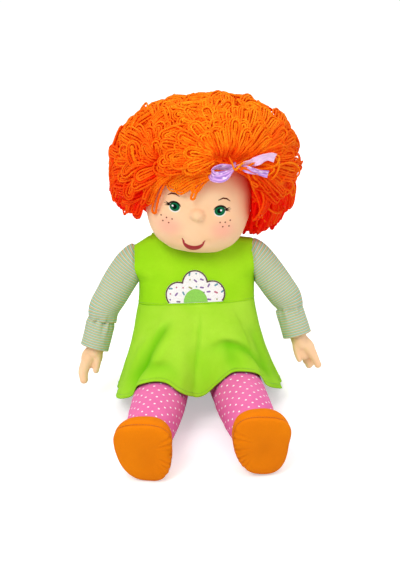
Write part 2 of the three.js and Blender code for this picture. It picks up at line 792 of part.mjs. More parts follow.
const headRise = crownLevel - chinLevel;
const level = (share) => chinLevel + headRise * share;
const headWidth = through([
  [level(0), headHalfWidth * 0.22], [level(0.02), headHalfWidth * 0.42],
  [level(0.05), headHalfWidth * 0.54], [level(0.12), headHalfWidth * 0.745],
  [level(0.24), headHalfWidth * 0.9], [level(0.42), headHalfWidth],
  [level(0.58), headHalfWidth * 0.985], [level(0.74), headHalfWidth * 0.88],
  [level(0.87), headHalfWidth * 0.67], [level(0.96), headHalfWidth * 0.37],
  [level(1), headHalfWidth * 0.08],
]);
const headFront = through([
  [level(0), faceDepth * 0.66], [level(0.03), faceDepth * 0.78], [level(0.1), faceDepth * 0.9],
  [level(0.25), faceDepth * 0.985], [level(0.4), faceDepth], [level(0.6), faceDepth * 0.99],
  [level(0.75), faceDepth * 0.9], [level(0.88), faceDepth * 0.7], [level(0.96), faceDepth * 0.46],
  [level(1), faceDepth * 0.24],
]);
const headBack = through([
  [level(0), -faceDepth * 0.52], [level(0.05), -faceDepth * 0.45], [neckLift, -neckTube - 4],
  [neckLift + 1, napeDepth * 0.36], [neckLift + 9, napeDepth * 0.7], [level(0.38), napeDepth * 0.93],
  [level(0.55), napeDepth], [level(0.75), napeDepth * 0.8], [level(0.9), napeDepth * 0.3],
  [level(1), -faceDepth * 0.08],
]);

const headLevels = [
  level(0), level(0.02), level(0.055), level(0.1), neckLift, neckLift + 1,
  ...[0.22, 0.32, 0.45, 0.59, 0.72, 0.83, 0.92, 0.98, 1].map(level),
];

// The line, front to back, where each level of the head is widest
const headMiddle = through([
  [level(0), -faceDepth * 0.585], [neckLift + 1, -faceDepth * 0.5], [level(0.32), -faceDepth * 0.25],
  [level(0.5), -faceDepth * 0.12], [level(0.8), -faceDepth * 0.12], [level(1), -faceDepth * 0.16],
]);

// The skull and face, grown by a thickness all round, without the nose.
function headForm(grow, sides = 22) {
  const rings = headLevels.map((here) => {
    const place = here + grow * ((2 * (here - chinLevel)) / headRise - 1);
    const [front, back] = [headFront(here) + grow, headBack(here) + grow];
    const middle = headMiddle(here);
    const half = headWidth(here) + grow;
    return oval(at(0, middle, place), X, Y, half, back - middle, 2.15, sides, front + middle);
  });
  return solid(loft(rings));
}

function noseForm() {
  return ball(at(0, -faceDepth + 1.5, noseLevel), noseRadius, 12, 8, [1.1, 0.75, 0.85]);
}

function throatForm() {
  return turned([
    [0, 0.2], [throatFlange, 0.2], [throatFlange, tieLevel - 4], [throat, tieLevel - 2],
    [throat, neckLift + 12], [0, neckLift + 12],
  ], 20);
}
const throatBore = solid(rod(at(0, 0, -5), at(0, 0, neckLift + 20), throat - vinyl, 16));
const headInside = headForm(-vinyl, 14);
const headShell = headForm(0)
  .add(solid(noseForm()))
  .add(solid(throatForm()))
  .subtract(headInside)
  .subtract(throatBore);
add(head, "head_shell", headShell, "skin");

// The part of the head that hair and cap cover: everything but an arched window for the face.
function faceWindow(half, top, back) {
  const shape = new THREE.Shape();
  shape.moveTo(-half, -60);
  shape.lineTo(half, -60);
  shape.lineTo(half, top * 0.55);
  shape.bezierCurveTo(half, top * 0.88, half * 0.75, top, 0, top);
  shape.bezierCurveTo(-half * 0.75, top, -half, top * 0.88, -half, top * 0.55);
  const window = new THREE.ExtrudeGeometry(shape, {
    depth: far, bevelEnabled: false, curveSegments: 8,
  });
  return solid(window.rotateX(Math.PI / 2).translate(0, -back, 0));
}
const capIn = gap;
const capOut = gap + capWall;
const capBottom = neckLift + 12;
const aboveCap = solid(block(at(-far, -far, capBottom), at(far, far, far)));
const wigCap = headForm(capOut)
  .subtract(headForm(capIn))
  .intersect(aboveCap)
  .subtract(faceWindow(faceHalfWidth + 1, hairlineLevel + 3, 6));
add(head, "wig_cap", wigCap, "yarn");

// The outer shape of the yarn: an egg whose surface swells into rows of looped bunches.
const hairMiddle = (hairTop + hairBottom) / 2;
function hairForm() {
  const [round, rows] = [36, 13];
  const rings = evenly(0, 1, rows).map((t) => {
    const rise = -Math.cos(Math.PI * (0.04 + 0.93 * t));
    const spread = Math.sqrt(1 - rise * rise);
    const bunches = 11;
    return Array.from({ length: round }, (_, j) => {
      const turn = (2 * Math.PI * j) / round;
      const row = t * 5;
      const shift = Math.floor(row) % 2 ? Math.PI : 0;
      const lobe = Math.abs(Math.cos((bunches * turn + shift) / 2)) * Math.abs(Math.sin(Math.PI * row));
      const swell = hairCurl * (lobe - 0.5) * Math.min(1, 3 * spread);
      const depth = Math.sin(turn) < 0 ? hairFront : hairBack;
      return at(
        Math.cos(turn) * (hairHalfWidth * spread ** 0.8 + swell),
        Math.sin(turn) * (depth * spread ** 0.8 + swell),
        hairMiddle + rise * (hairTop - hairMiddle) + swell * rise,
      );
    });
  });
  return solid(
    loft(rings)
      .translate(0, 0, -hairMiddle)
      .rotateY(-rad(hairLean))
      .translate(hairShift, 0, hairMiddle),
  );
}

// Half the space on one side of a level, a front plane or a middle plane, less half the gap.
const slab = (low, high) => solid(block(low, high));
const hairShell = hairForm()
  .subtract(headForm(capOut + gap))
  .subtract(faceWindow(faceHalfWidth, hairlineLevel, 8));
const upper = slab(at(-far, -far, partingLevel + gap / 2), at(far, far, far));
const lowerBack = slab(at(-far, napeLine + gap / 2, hairBottom), at(far, far, partingLevel - gap / 2));
const lowerSide = (side) => {
  const [low, high] = [Math.min(0, side * far), Math.max(0, side * far)];
  return slab(at(low, -far, hairBottom), at(high, napeLine - gap / 2, partingLevel - gap / 2));
};

// Ribbon: a knot on the hairline, a loop beside it and two tails, all of one flat width.
const knotLevel = hairlineLevel + 5;
const knot = at(knotPlace, knotSink - faceDepth, knotLevel);
const fromKnot = (x, y, z) => knot.clone().add(at(x, y, z));
function strip(points, grow = 0) {
  const line = new THREE.CatmullRomCurve3(points);
  const rings = evenly(0, 1, 6).map((t) => {
    const along = line.getTangentAt(t);
    const across = Y.clone().cross(along).normalize();
    const thick = along.clone().cross(across).normalize();
    return oval(line.getPointAt(t), across, thick, ribbonWidth / 2 + grow, ribbonWall + grow, 4, 8);
  });
  return loft(rings);
}
const knotBall = (grow) => ball(knot, knotRadius + grow, 10, 8, [1, 0.8, 1]);
const clearOfKnot = knotRadius + gap + 0.6;
const loopLine = [fromKnot(-clearOfKnot, 0, -1), fromKnot(-20, 2, -8), fromKnot(-33, 3, -16)];
const upperLine = [fromKnot(clearOfKnot, 0, 2), fromKnot(22, 1, 10), fromKnot(40, 6, 17)];
const lowerLine = [fromKnot(clearOfKnot - 1, 1, -8), fromKnot(19, 4, -11), fromKnot(36, 10, -12)];

// The tied lock: yarn drawn in from the crown to the knot and let out again beyond it. It lies in a
// hollow that the ribbon pulls into the hair.
const hollow = (grow) => {
  const halves = [hollowHalfWidth + grow, hollowHalfDepth + grow, hollowHalfHeight + grow];
  return solid(ball(fromKnot(4, -4, 1), 1, 14, 8, halves));
};
const headRoom = headForm(capOut + gap);
function lock(rings, low, high) {
  return solid(loft(rings))
    .intersect(hollow(-gap))
    .intersect(slab(at(low, -far, -far), at(high, far, far)))
    .subtract(headRoom)
    .subtract(solid(knotBall(gap)))
    .subtract(solid(strip(loopLine, gap)))
    .subtract(solid(strip(upperLine, gap)))
    .subtract(solid(strip(lowerLine, gap)));
}
// A ring of a lock: its middle in shares of the lock's reach, and its two half sizes.
const lockRing = (reach, [x, y, z], u, v, halfU, halfV) =>
  oval(fromKnot(x * reach, y * reach, z * reach), u, v, halfU, halfV, 2, 12);
const lockRoot = lock([
  lockRing(rootReach, [-0.025, 0.1, 0.125], X, Y, rootSpread * 0.26, rootDepth * 0.46),
  lockRing(rootReach, [-0.175, 0.125, 0.5], X, Y, rootSpread * 0.61, rootDepth * 0.7),
  lockRing(rootReach, [-0.325, 0.2, 1], X, Y, rootSpread, rootDepth),
], -far, knotPlace + knotRadius);
const lockEnd = lock([
  lockRing(endReach, [0.08, 0.08, 0], Y, Z, endDepth * 0.43, endSpread * 0.3),
  lockRing(endReach, [0.355, 0.13, 0], Y, Z, endDepth * 0.64, endSpread * 0.65),
  lockRing(endReach, [1, 0.32, -0.065], Y, Z, endDepth, endSpread),
], knotPlace + knotRadius + gap, far);
const hairOutside = hairShell.subtract(hollow(0));
add(head, "hair_crown", hairOutside.intersect(upper), "yarn");
add(head, "hair_side_left", hairOutside.intersect(lowerSide(1)), "yarn");
add(head, "hair_side_right", hairOutside.intersect(lowerSide(-1)), "yarn");
add(head, "hair_back", hairOutside.intersect(lowerBack), "yarn");
add(head, "tied_lock_root", lockRoot, "yarn");
add(head, "tied_lock_end", lockEnd, "yarn");
add(head, "ribbon_knot", knotBall(0), "ribbon");
add(head, "ribbon_loop", strip(loopLine), "ribbon");
add(head, "ribbon_tail_upper", strip(upperLine), "ribbon");
add(head, "ribbon_tail_lower", strip(lowerLine), "ribbon");

// The origin is the middle of the flat seat behind the legs.
const seatFront = thighRadius + turnGap - hipFront;
const seatBack = (hipHalfDepth * 0.94) / Math.cos(rad(recline));
doll.position.y = -(seatFront + seatBack) / 2;

export default doll;
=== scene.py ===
"""A sitting cloth play doll with yarn-loop hair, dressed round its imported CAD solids.

Sizes are in millimetres where they repeat the construction's own, and in metres on every mesh. +Z is up, the face
looks along -Y and the doll's left is +X. The origin is the middle of the flat seat, on the floor.
"""

import math
from contextlib import contextmanager

import bmesh
import bpy
import numpy as np
from mathutils import Matrix, Vector, noise
from mathutils.kdtree import KDTree


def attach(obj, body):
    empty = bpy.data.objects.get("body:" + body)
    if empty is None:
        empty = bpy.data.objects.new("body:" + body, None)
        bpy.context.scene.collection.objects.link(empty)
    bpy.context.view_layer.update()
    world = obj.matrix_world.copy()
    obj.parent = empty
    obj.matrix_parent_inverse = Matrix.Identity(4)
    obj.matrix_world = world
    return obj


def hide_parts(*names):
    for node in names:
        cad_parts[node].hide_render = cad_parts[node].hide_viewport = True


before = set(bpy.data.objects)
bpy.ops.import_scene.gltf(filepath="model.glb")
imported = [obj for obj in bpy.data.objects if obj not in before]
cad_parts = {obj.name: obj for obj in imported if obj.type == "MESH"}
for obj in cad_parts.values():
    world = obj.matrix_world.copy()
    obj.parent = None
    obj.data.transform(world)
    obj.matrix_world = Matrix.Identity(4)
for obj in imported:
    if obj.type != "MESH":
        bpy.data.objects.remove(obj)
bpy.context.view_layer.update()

bl_info = {
    "name": "Cloth Doll with Yarn Hair",
    "version": (1, 0, 0),
    "blender": (4, 5, 0),
    "location": "View3D > Sidebar > Doll",
    "description": "Dresses the solids of a sitting cloth doll with cloth, vinyl, yarn and ribbon",
    "category": "Object",
}

MM = 0.001
SIDES = {"left": 1, "right": -1}

# The construction's own sizes, in millimetres and degrees
CLOTH, DRESS_CLOTH, GAP, TURN_GAP = 1.2, 1.6, 0.4, 1.4
RECLINE = 17
WAIST, ARMPIT, SHOULDER, RIDGE = 128, 155, 200, 205
SHOULDER_HALF, RIDGE_HALF = 75, 50
HIP_HALF_WIDTH, WAIST_HALF_WIDTH = 80, 73.5
HIP_DEPTH, WAIST_DEPTH, CHEST_DEPTH, RIDGE_DEPTH = 52, 45, 30, 14
ARM_CENTRE = (ARMPIT + SHOULDER) / 2
NECK_PIVOT, NECK_BALL, NECK_TUBE, NECK_LIFT = 202, 17, 13.6, 18
HEAD_TILT, HEAD_RECLINE = 8, 6
CROWN, HEAD_HALF, FACE_DEPTH, NAPE_DEPTH = 133, 67, 72, 54
HAIR_HALF, HAIR_FRONT, HAIR_BACK, HAIR_TOP, HAIR_BOTTOM = 121, 92, 98, 190, 19
HAIR_LEAN, HAIR_SHIFT = 11, 3
PARTING, NAPE_LINE = 118, 22
KNOT = np.array([38.0, -70.0, 121.0])
ARMHOLE, ARM_RADIUS, GATHER_RADIUS = 23, 21, 16
GATHER_HEIGHT, GATHER_OUT, WRIST_SPLAY = 106, 121, 18
CUFF_TOP, CUFF_LENGTH, CUFF_RADIUS, WRIST = -6.4, 29, 17.6, 10.5
CUFF_END = CUFF_TOP - CUFF_LENGTH
PALM_LENGTH, FINGER_RADIUS = 25, 5.4
HIP_HALF, HIP_FRONT, HIP_HEIGHT, THIGH, ANKLE, LEG_LENGTH = 41.5, 8, 35, 33, 27.5, 158
SPLAY = {1: 8.4, -1: 7.7}
SHOE_LENGTH, SOLE_WALL, SHOE_HEIGHT, SOLE_HALF, TOE_FLARE = 38, 5, 73, 33, 0.13
HEM_FRONT, HEM_MIDDLE, HEM_STAND_OFF, HEM_HALF, HEM_BACK, HEM_FLOOR = 78, 42, 3.6, 107, 100, 4
HEM_REACH = {1: 64, -1: 80}
PETAL_RADIUS, PETAL_REACH, PETAL_STEP, FLOWER_CENTRE = 16.3, 23.8, 55, 15
FLOWER_BASE = WAIST + 2
SEAT_SHIFT = -(THIGH + TURN_GAP - HIP_FRONT + HIP_DEPTH * 0.94 / math.cos(math.radians(RECLINE))) / 2

# How the worn doll differs from its solids, in millimetres; 1 is the doll's left side, -1 its right
BODY_SQUARE = 2.4
LIFT_FROM, LIFT_OVER = 168, 30
SHOULDER_LIFT = {1: 5, -1: 2}
STITCH_STEP, GREEN_THREAD, SHOE_THREAD = 3.4, 0.26, 0.3

UP, ACROSS, AHEAD = np.array([0, 0, 1.0]), np.array([1.0, 0, 0]), np.array([0, 1.0, 0])


# Frames of the parts: each takes millimetres in the part's own frame to millimetres in the doll's
def turned(axis, degrees):
    return Matrix.Rotation(math.radians(degrees), 4, axis)


SEATED = Matrix.Translation((0, SEAT_SHIFT, 0))
TORSO = SEATED @ turned("X", -RECLINE)
HEAD = (
    Matrix.Translation(TORSO @ Vector((0, 0, NECK_PIVOT)))
    @ turned("Y", HEAD_TILT)
    @ turned("X", -HEAD_RECLINE)
)


def arm_frame(side):
    return TORSO @ Matrix.Diagonal((side, 1, 1, 1))


def wrist_frame(side):
    return arm_frame(side) @ Matrix.Translation((GATHER_OUT, -5, GATHER_HEIGHT)) @ turned("Y", -WRIST_SPLAY)


def leg_frame(side):
    hip = Matrix.Translation((side * HIP_HALF, -HIP_FRONT, HIP_HEIGHT))
    return SEATED @ hip @ turned("Z", side * SPLAY[side]) @ Matrix.Diagonal((side, 1, 1, 1))


def moved(points, matrix):
    """Points of any shape (..., 3) taken through a 4x4 matrix."""
    m = np.array(matrix)
    return points @ m[:3, :3].T + m[:3, 3]


# Curves and forms
def through(stops):
    """A smooth function through (place, value) pairs with no overshoot, for arrays."""
    x = np.array([p for p, _ in stops], float)
    y = np.array([v for _, v in stops], float)
    rise = np.diff(y) / np.diff(x)
    slope = np.zeros(len(x))
    for i in range(1, len(x) - 1):
        a, b = rise[i - 1], rise[i]
        slope[i] = 0 if a * b <= 0 else 2 * a * b / (a + b)

    def at(place):
        place = np.clip(np.asarray(place, float), x[0], x[-1])
        i = np.clip(np.searchsorted(x, place), 1, len(x) - 1)
        span = x[i] - x[i - 1]
        t = (place - x[i - 1]) / span
        ease = t * t * (3 - 2 * t)
        bend = slope[i - 1] * t * (1 - t) ** 2 - slope[i] * t * t * (1 - t)
        return y[i - 1] + (y[i] - y[i - 1]) * ease + span * bend

    return at


def eased(value):
    t = np.clip(value, 0, 1)
    return t * t * (3 - 2 * t)


def power(value, exponent):
    return np.sign(value) * np.abs(value) ** exponent


def flat_oval(across):
    """The other coordinate of a rounded oval of half size 1, from 1 in the middle to 0 at its side."""
    return np.clip(1 - np.abs(across) ** BODY_SQUARE, 0, 1) ** (1 / BODY_SQUARE)


def oval(middle, u, v, half_u, half_v, squareness, sides, far=None, start=0.0):
    """A closed ring of rounded corners, far being its half size along -v."""
    angle = start + 2 * np.pi * np.arange(sides) / sides
    c, s = np.cos(angle), np.sin(angle)
    across = half_u * power(c, 2 / squareness)
    along = np.where(s > 0, half_v, half_v if far is None else far) * power(s, 2 / squareness)
    return np.asarray(middle, float) + across[:, None] * u + along[:, None] * v


class Line:
    """A smooth line through points, followed by its own length from 0 to 1."""

    FINE, STEP = 24, 0.01

    def __init__(self, points, closed=False):
        p = np.asarray(points, float)
        n = len(p)
        if closed:
            ends = [(p[i - 1], p[i], p[(i + 1) % n], p[(i + 2) % n]) for i in range(n)]
        else:
            p = np.vstack([2 * p[0] - p[1], p, 2 * p[-1] - p[-2]])
            ends = [tuple(p[i : i + 4]) for i in range(n - 1)]
        out = []
        for a, b, c, d in ends:
            t = np.linspace(0, 1, self.FINE, endpoint=False)[:, None]
            d0, d1, d2 = (max(np.linalg.norm(q - r), 1e-6) ** 0.5 for q, r in ((b, a), (c, b), (d, c)))
            m1 = ((b - a) / d0 - (c - a) / (d0 + d1) + (c - b) / d1) * d1
            m2 = ((c - b) / d1 - (d - b) / (d1 + d2) + (d - c) / d2) * d1
            out.append(b + t * m1 + t**2 * (-3 * b + 3 * c - 2 * m1 - m2) + t**3 * (2 * b - 2 * c + m1 + m2))
        out.append(ends[-1][2][None])
        self.points = np.vstack(out)
        steps = np.linalg.norm(np.diff(self.points, axis=0), axis=1)
        self.length = steps.sum()
        self.share = np.concatenate([[0], np.cumsum(steps)]) / self.length

    def at(self, t):
        return np.stack([np.interp(t, self.share, self.points[:, k]) for k in range(3)], -1)

    def along(self, t):
        t = np.asarray(t)
        return unit(self.at(np.minimum(t + self.STEP, 1)) - self.at(np.maximum(t - self.STEP, 0)))


def unit(v):
    return v / np.maximum(np.linalg.norm(v, axis=-1, keepdims=True), 1e-9)


# Meshes
def new_object(name, data):
    made = bpy.data.objects.new(name, data)
    bpy.context.scene.collection.objects.link(made)
    return made


def smoothed(mesh):
    mesh.polygons.foreach_set("use_smooth", [True] * len(mesh.polygons))


@contextmanager
def edited(mesh):
    """Opens a mesh for editing and writes the result back, with smooth faces."""
    made = bmesh.new()
    made.from_mesh(mesh)
    yield made
    made.to_mesh(mesh)
    made.free()
    smoothed(mesh)


def raw_mesh(name, points, faces, uv):
    """Points in metres; uv is one pair for each face corner, in metres too."""
    mesh = bpy.data.meshes.new(name)
    mesh.from_pydata([tuple(p) for p in points], [], [tuple(f) for f in faces])
    mesh.uv_layers.new(name="UVMap").data.foreach_set("uv", np.asarray(uv, np.float32).ravel())
    smoothed(mesh)
    mesh.validate()
    mesh.update()
    return mesh


def cloth_grid(name, grid, matrix, wrap=True, close=(False, False), flip=False):
    """A skin over rows and columns of points in millimetres, with a UV map in metres of cloth."""
    world = moved(np.asarray(grid, float), matrix) * MM
    rows, cols = world.shape[:2]
    ring = np.concatenate([world, world[:, :1]], 1) if wrap else world
    round_step = np.linalg.norm(np.diff(ring, axis=1), axis=2).mean(0)
    along_step = np.linalg.norm(np.diff(world, axis=0), axis=2).mean(1)
    u = np.concatenate([[0], np.cumsum(round_step)])
    v = np.concatenate([[0], np.cumsum(along_step)])
    span = cols if wrap else cols - 1
    r, c = np.meshgrid(np.arange(rows - 1), np.arange(span), indexing="ij")
    r, c = r.ravel(), c.ravel()
    n = (c + 1) % cols
    faces = np.stack([r * cols + c, r * cols + n, (r + 1) * cols + n, (r + 1) * cols + c], 1)
    uv = np.stack([np.stack([u[c + a], v[r + b]], 1) for a, b in ((0, 0), (1, 0), (1, 1), (0, 1))], 1)
    points = list(world.reshape(-1, 3))
    faces, uv = [list(f) for f in faces], [list(map(tuple, q)) for q in uv]
    for end, row in ((0, 0), (1, rows - 1)):
        if close[end]:
            points.append(world[row].mean(0))
            for j in range(cols):
                k = (j + 1) % cols
                a, b = (k, j) if end == 0 else (j, k)
                faces.append([len(points) - 1, row * cols + a, row * cols + b])
                uv.append([(u[j], v[row]), (u[j], v[row]), (u[j + 1], v[row])])
    if (Matrix(matrix).determinant() < 0) != flip:
        faces, uv = [f[::-1] for f in faces], [q[::-1] for q in uv]
    return new_object(name, raw_mesh(name, points, faces, [p for q in uv for p in q]))


def lay_along(piece, lengths):
    """Sets the second UV coordinate from one length in metres at each point."""
    uv = piece.data.uv_layers[0].data
    for loop in piece.data.loops:
        uv[loop.index].uv[1] = lengths[loop.vertex_index]


def lay_flat(piece, matrix, base=0):
    """Sets the UV map from x and z of a part's own frame, in metres, z starting at base."""
    mesh = piece.data
    own = moved(np.array([v.co for v in mesh.vertices]) / MM, matrix.inverted()) - (0, 0, base)
    index = np.zeros(len(mesh.loops), np.int32)
    mesh.loops.foreach_get("vertex_index", index)
    mesh.uv_layers[0].data.foreach_set("uv", (own[index][:, [0, 2]] * MM).astype(np.float32).ravel())


def set_painted_light(mesh, values):
    """Stores each point's share of the material's painted shade or painted highlight colour."""
    mesh.attributes.new("depth", "FLOAT", "POINT").data.foreach_set("value", np.asarray(values, np.float32))


def settle(piece):
    """Turns a piece with modifiers into a plain mesh."""
    graph = bpy.context.evaluated_depsgraph_get()
    mesh = bpy.data.meshes.new_from_object(piece.evaluated_get(graph), depsgraph=graph)
    piece.modifiers.clear()
    old, piece.data = piece.data, mesh
    bpy.data.meshes.remove(old)
    mesh.name = piece.name


def modify(piece, kind, **values):
    made = piece.modifiers.new(kind.title(), kind)
    for key, value in values.items():
        setattr(made, key, value)


def thicken(piece, wall):
    """Gives a skin a wall in millimetres, inwards from where it lies."""
    modify(piece, "SOLIDIFY", thickness=wall * MM, offset=-1, use_rim=True, use_quality_normals=True)
    settle(piece)


def outward(piece):
    """Joins points that coincide and turns every face outwards."""
    with edited(piece.data) as made:
        bmesh.ops.remove_doubles(made, verts=made.verts, dist=1e-6)
        bmesh.ops.recalc_face_normals(made, faces=made.faces)


def displace(piece, *waves, amount=None):
    """Moves each point along its normal: by amount(points), or by waves of (height, length, seed), in metres."""
    mesh = piece.data
    co = np.zeros(len(mesh.vertices) * 3, np.float32)
    no = np.zeros(len(mesh.vertices) * 3, np.float32)
    mesh.vertices.foreach_get("co", co)
    mesh.vertices.foreach_get("normal", no)
    co, no = co.reshape(-1, 3), no.reshape(-1, 3)
    far = amount(co) if amount else 0
    for height, length, seed in waves:
        far = far + height * wander(co, length, seed)
    mesh.vertices.foreach_set("co", (co + no * np.asarray(far, np.float32)[:, None]).ravel())
    mesh.update()


def wander(points, scale, seed):
    """Smooth noise from -1 to 1 at each point, scale being its wavelength in metres."""
    return np.array([noise.noise(Vector(p) / scale + Vector((seed, seed * 2, -seed))) for p in points])


def dress(piece, paint, body, slot, *nodes):
    """Gives a finished piece its material and its body, and hides the CAD nodes it stands for; slot is not used."""
    piece.data.materials.clear()
    piece.data.materials.append(finish(paint))
    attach(piece, body)
    if nodes:
        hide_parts(*nodes)


# Materials
def linear(r, g, b):
    """A colour written as 0 to 255 on screen, as the renderer's linear RGBA."""
    return tuple((c / 255 / 12.92 if c <= 10.3 else ((c / 255 + 0.055) / 1.055) ** 2.4) for c in (r, g, b)) + (1,)


def tinted(colour, *shares):
    """A colour with its red, green and blue multiplied by three shares."""
    return tuple(c * share for c, share in zip(colour, (*shares, 1)))


class Nodes:
    """A shader tree, written as nested calls."""

    def __init__(self, tree):
        self.tree = tree

    def node(self, kind, *values, out=0, **settings):
        made = self.tree.nodes.new("ShaderNode" + kind)
        for key, value in settings.items():
            setattr(made, key, value)
        for socket, value in zip(made.inputs, values):
            self.put(socket, value)
        return made.outputs[out]

    def put(self, socket, value):
        if isinstance(value, bpy.types.NodeSocket):
            self.tree.links.new(value, socket)
        elif value is not None:
            socket.default_value = value

    def named(self, kind, **values):
        """The first output of a node whose inputs are given by name."""
        made = self.tree.nodes.new("ShaderNode" + kind)
        for key, value in values.items():
            self.put(made.inputs[key], value)
        return made.outputs[0]

    def math(self, operation, *values, clamp=False):
        return self.node("Math", *values, operation=operation, use_clamp=clamp)

    def vector(self, operation, *values):
        scalar = operation in ("LENGTH", "DOT_PRODUCT", "DISTANCE")
        return self.node("VectorMath", *values, operation=operation, out=1 if scalar else 0)

    def scaled(self, place, *amount):
        return self.vector("MULTIPLY", place, amount)

    def axis(self, value, index):
        return self.node("SeparateXYZ", value, out=index)

    def both(self, a, b):
        return self.math("MULTIPLY", a, b)

    def mix(self, share, a, b):
        made = self.tree.nodes.new("ShaderNodeMix")
        made.data_type = "RGBA"
        for index, value in ((0, share), (6, a), (7, b)):
            self.put(made.inputs[index], value)
        return made.outputs[2]

    def ramp(self, share, stops, interpolation="LINEAR"):
        """A colour looked up by a share, between stops of (place, screen colour)."""
        made = self.tree.nodes.new("ShaderNodeValToRGB")
        made.color_ramp.interpolation = interpolation
        self.put(made.inputs[0], share)
        elements = made.color_ramp.elements
        while len(elements) < len(stops):
            elements.new(0.5)
        for element, (place, shade) in zip(elements, stops):
            element.position, element.color = place, linear(*shade)
        return made.outputs[0]

    def edge(self, value, low, high):
        """From 0 below low to 1 above high, smoothly."""
        return self.node("MapRange", value, low, high, 0.0, 1.0, interpolation_type="SMOOTHSTEP")

    def noise(self, place, scale, detail=3.0):
        return self.named("TexNoise", Vector=place, Scale=scale, Detail=detail)

    def place(self):
        return self.node("TexCoord", out="Object")

    def uv(self):
        return self.node("TexCoord", out="UV")

    def depth(self):
        """Each point's stored share of painted shade or painted highlight."""
        return self.node("Attribute", out=2, attribute_name="depth")


class Finish(Nodes):
    """One material: a shader tree round its surface."""

    def __init__(self, name, **fixed):
        self.material = bpy.data.materials.new(name)
        self.material.use_nodes = True
        super().__init__(self.material.node_tree)
        self.surface = self.tree.nodes["Principled BSDF"]
        for key, value in fixed.items():
            self.surface.inputs[key.replace("_", " ")].default_value = value

    def bump(self, height, distance, strength=1.0, below=None):
        return self.named("Bump", Height=height, Distance=distance, Strength=strength, Normal=below)

    def colour(self, value):
        self.put(self.surface.inputs["Base Color"], value)

    def ground(self):
        """What colours the surface so far."""
        return self.surface.inputs["Base Color"].links[0].from_socket

    def normal(self, value):
        self.put(self.surface.inputs["Normal"], value)


WEAVE_PITCH, SLUB = 0.0007, 0.25


def weave(made, uv):
    """Height of a plain weave."""
    turns = 2 * math.pi / WEAVE_PITCH
    wide, long = (made.math("SINE", made.both(made.axis(uv, k), turns)) for k in (0, 1))
    return made.both(wide, long)


def cotton(name, base, shade):
    """Woven cotton: a plain weave, slubs in the thread and a slow unevenness of the dye."""
    made = Finish(name, Roughness=0.88, Specular_IOR_Level=0.12)
    uv, spot = made.uv(), made.place()
    slow = made.noise(spot, 22.0)
    grain = made.noise(made.scaled(uv, 1900.0, 260.0, 1.0), 1.0, 2.0)
    dyed = made.mix(made.edge(slow, 0.3, 0.7), base, shade)
    threads = made.both(made.edge(grain, 0.25, 0.75), SLUB)
    made.colour(made.mix(threads, dyed, tinted(base, 0.72, 0.72, 0.72)))
    fine = made.bump(weave(made, uv), 0.00012, 0.5)
    made.normal(made.bump(made.noise(spot, 160.0, 4.0), 0.0009, 0.25, fine))
    return made


FINISHES = {}


def finish(name):
    """The named material, made when it is first asked for."""
    if name not in FINISHES:
        FINISHES[name] = MAKERS[name]().material
    return FINISHES[name]


# Sizes and colours a user may change
def colour_setting(name, description, *shade):
    return bpy.props.FloatVectorProperty(
        name=name, description=description, subtype="COLOR", size=4, min=0, max=1, default=linear(*shade))


def length_setting(name, description, metres):
    return bpy.props.FloatProperty(name=name, description=description, default=metres, unit="LENGTH")


class DollDressProperties(bpy.types.PropertyGroup):
    """Colours and patterns of the cloth."""

    dress_colour: colour_setting("Dress", "Cotton of the dress", 171, 231, 34)
    leg_colour: colour_setting("Legs", "Ground of the dotted leg cloth", 243, 122, 180)
    shoe_colour: colour_setting("Shoes", "Cotton of the booties", 238, 132, 0)
    dot_pitch: length_setting("Dot pitch", "Distance between two dots of a row", 0.01322)
    stripe_pitch: length_setting("Stripe pitch", "One repeat of the sleeve stripes", 0.0033)
    stitch_length: length_setting("Stitch", "Length of one topstitch", 0.0026)


class DollHeadProperties(bpy.types.PropertyGroup):
    """Vinyl, yarn and ribbon."""

    skin_colour: colour_setting("Skin", "Vinyl of head and hands", 246, 206, 163)
    yarn_colour: colour_setting("Yarn", "Outer, lit yarn", 253, 132, 8)
    # The yarn's deep colour is painted shade: the red of yarn in shade inside the pile, near its roots and low on the
    # head.
    yarn_painted_shade_colour: colour_setting("Yarn in depth", "Yarn near its roots", 240, 14, 0)
    ribbon_colour: colour_setting("Ribbon", "Satin ribbon", 200, 146, 222)
    yarn_radius: length_setting("Yarn radius", "Half the thickness of one yarn", 0.00138)
    # Painted glow: the yarn emits light in its deep colour, standing in for light scattered inside the pile.
    yarn_painted_glow: bpy.props.FloatProperty(
        name="Yarn glow", description="Light scattered on inside the pile, as a share of the colour", default=0.07)
    bunches: bpy.props.IntProperty(
        name="Bunches", description="Bunches of loops over the whole wig", default=400, min=10)


# Materials of the doll
def make_vinyl(name="skin_vinyl"):
    made = Finish(name, Roughness=0.52, Specular_IOR_Level=0.3, Subsurface_Weight=0.12, Subsurface_Scale=0.004,
                  Subsurface_Radius=(1.0, 0.45, 0.25))
    spot = made.place()
    skin = tuple(bpy.context.scene.doll_head.skin_colour)
    made.colour(made.mix(made.edge(made.noise(spot, 30.0, 2.0), 0.35, 0.75), skin, tinted(skin, 1.0, 0.93, 0.88)))
    made.normal(made.bump(made.noise(spot, 900.0, 2.0), 0.0002, 0.08))
    return made


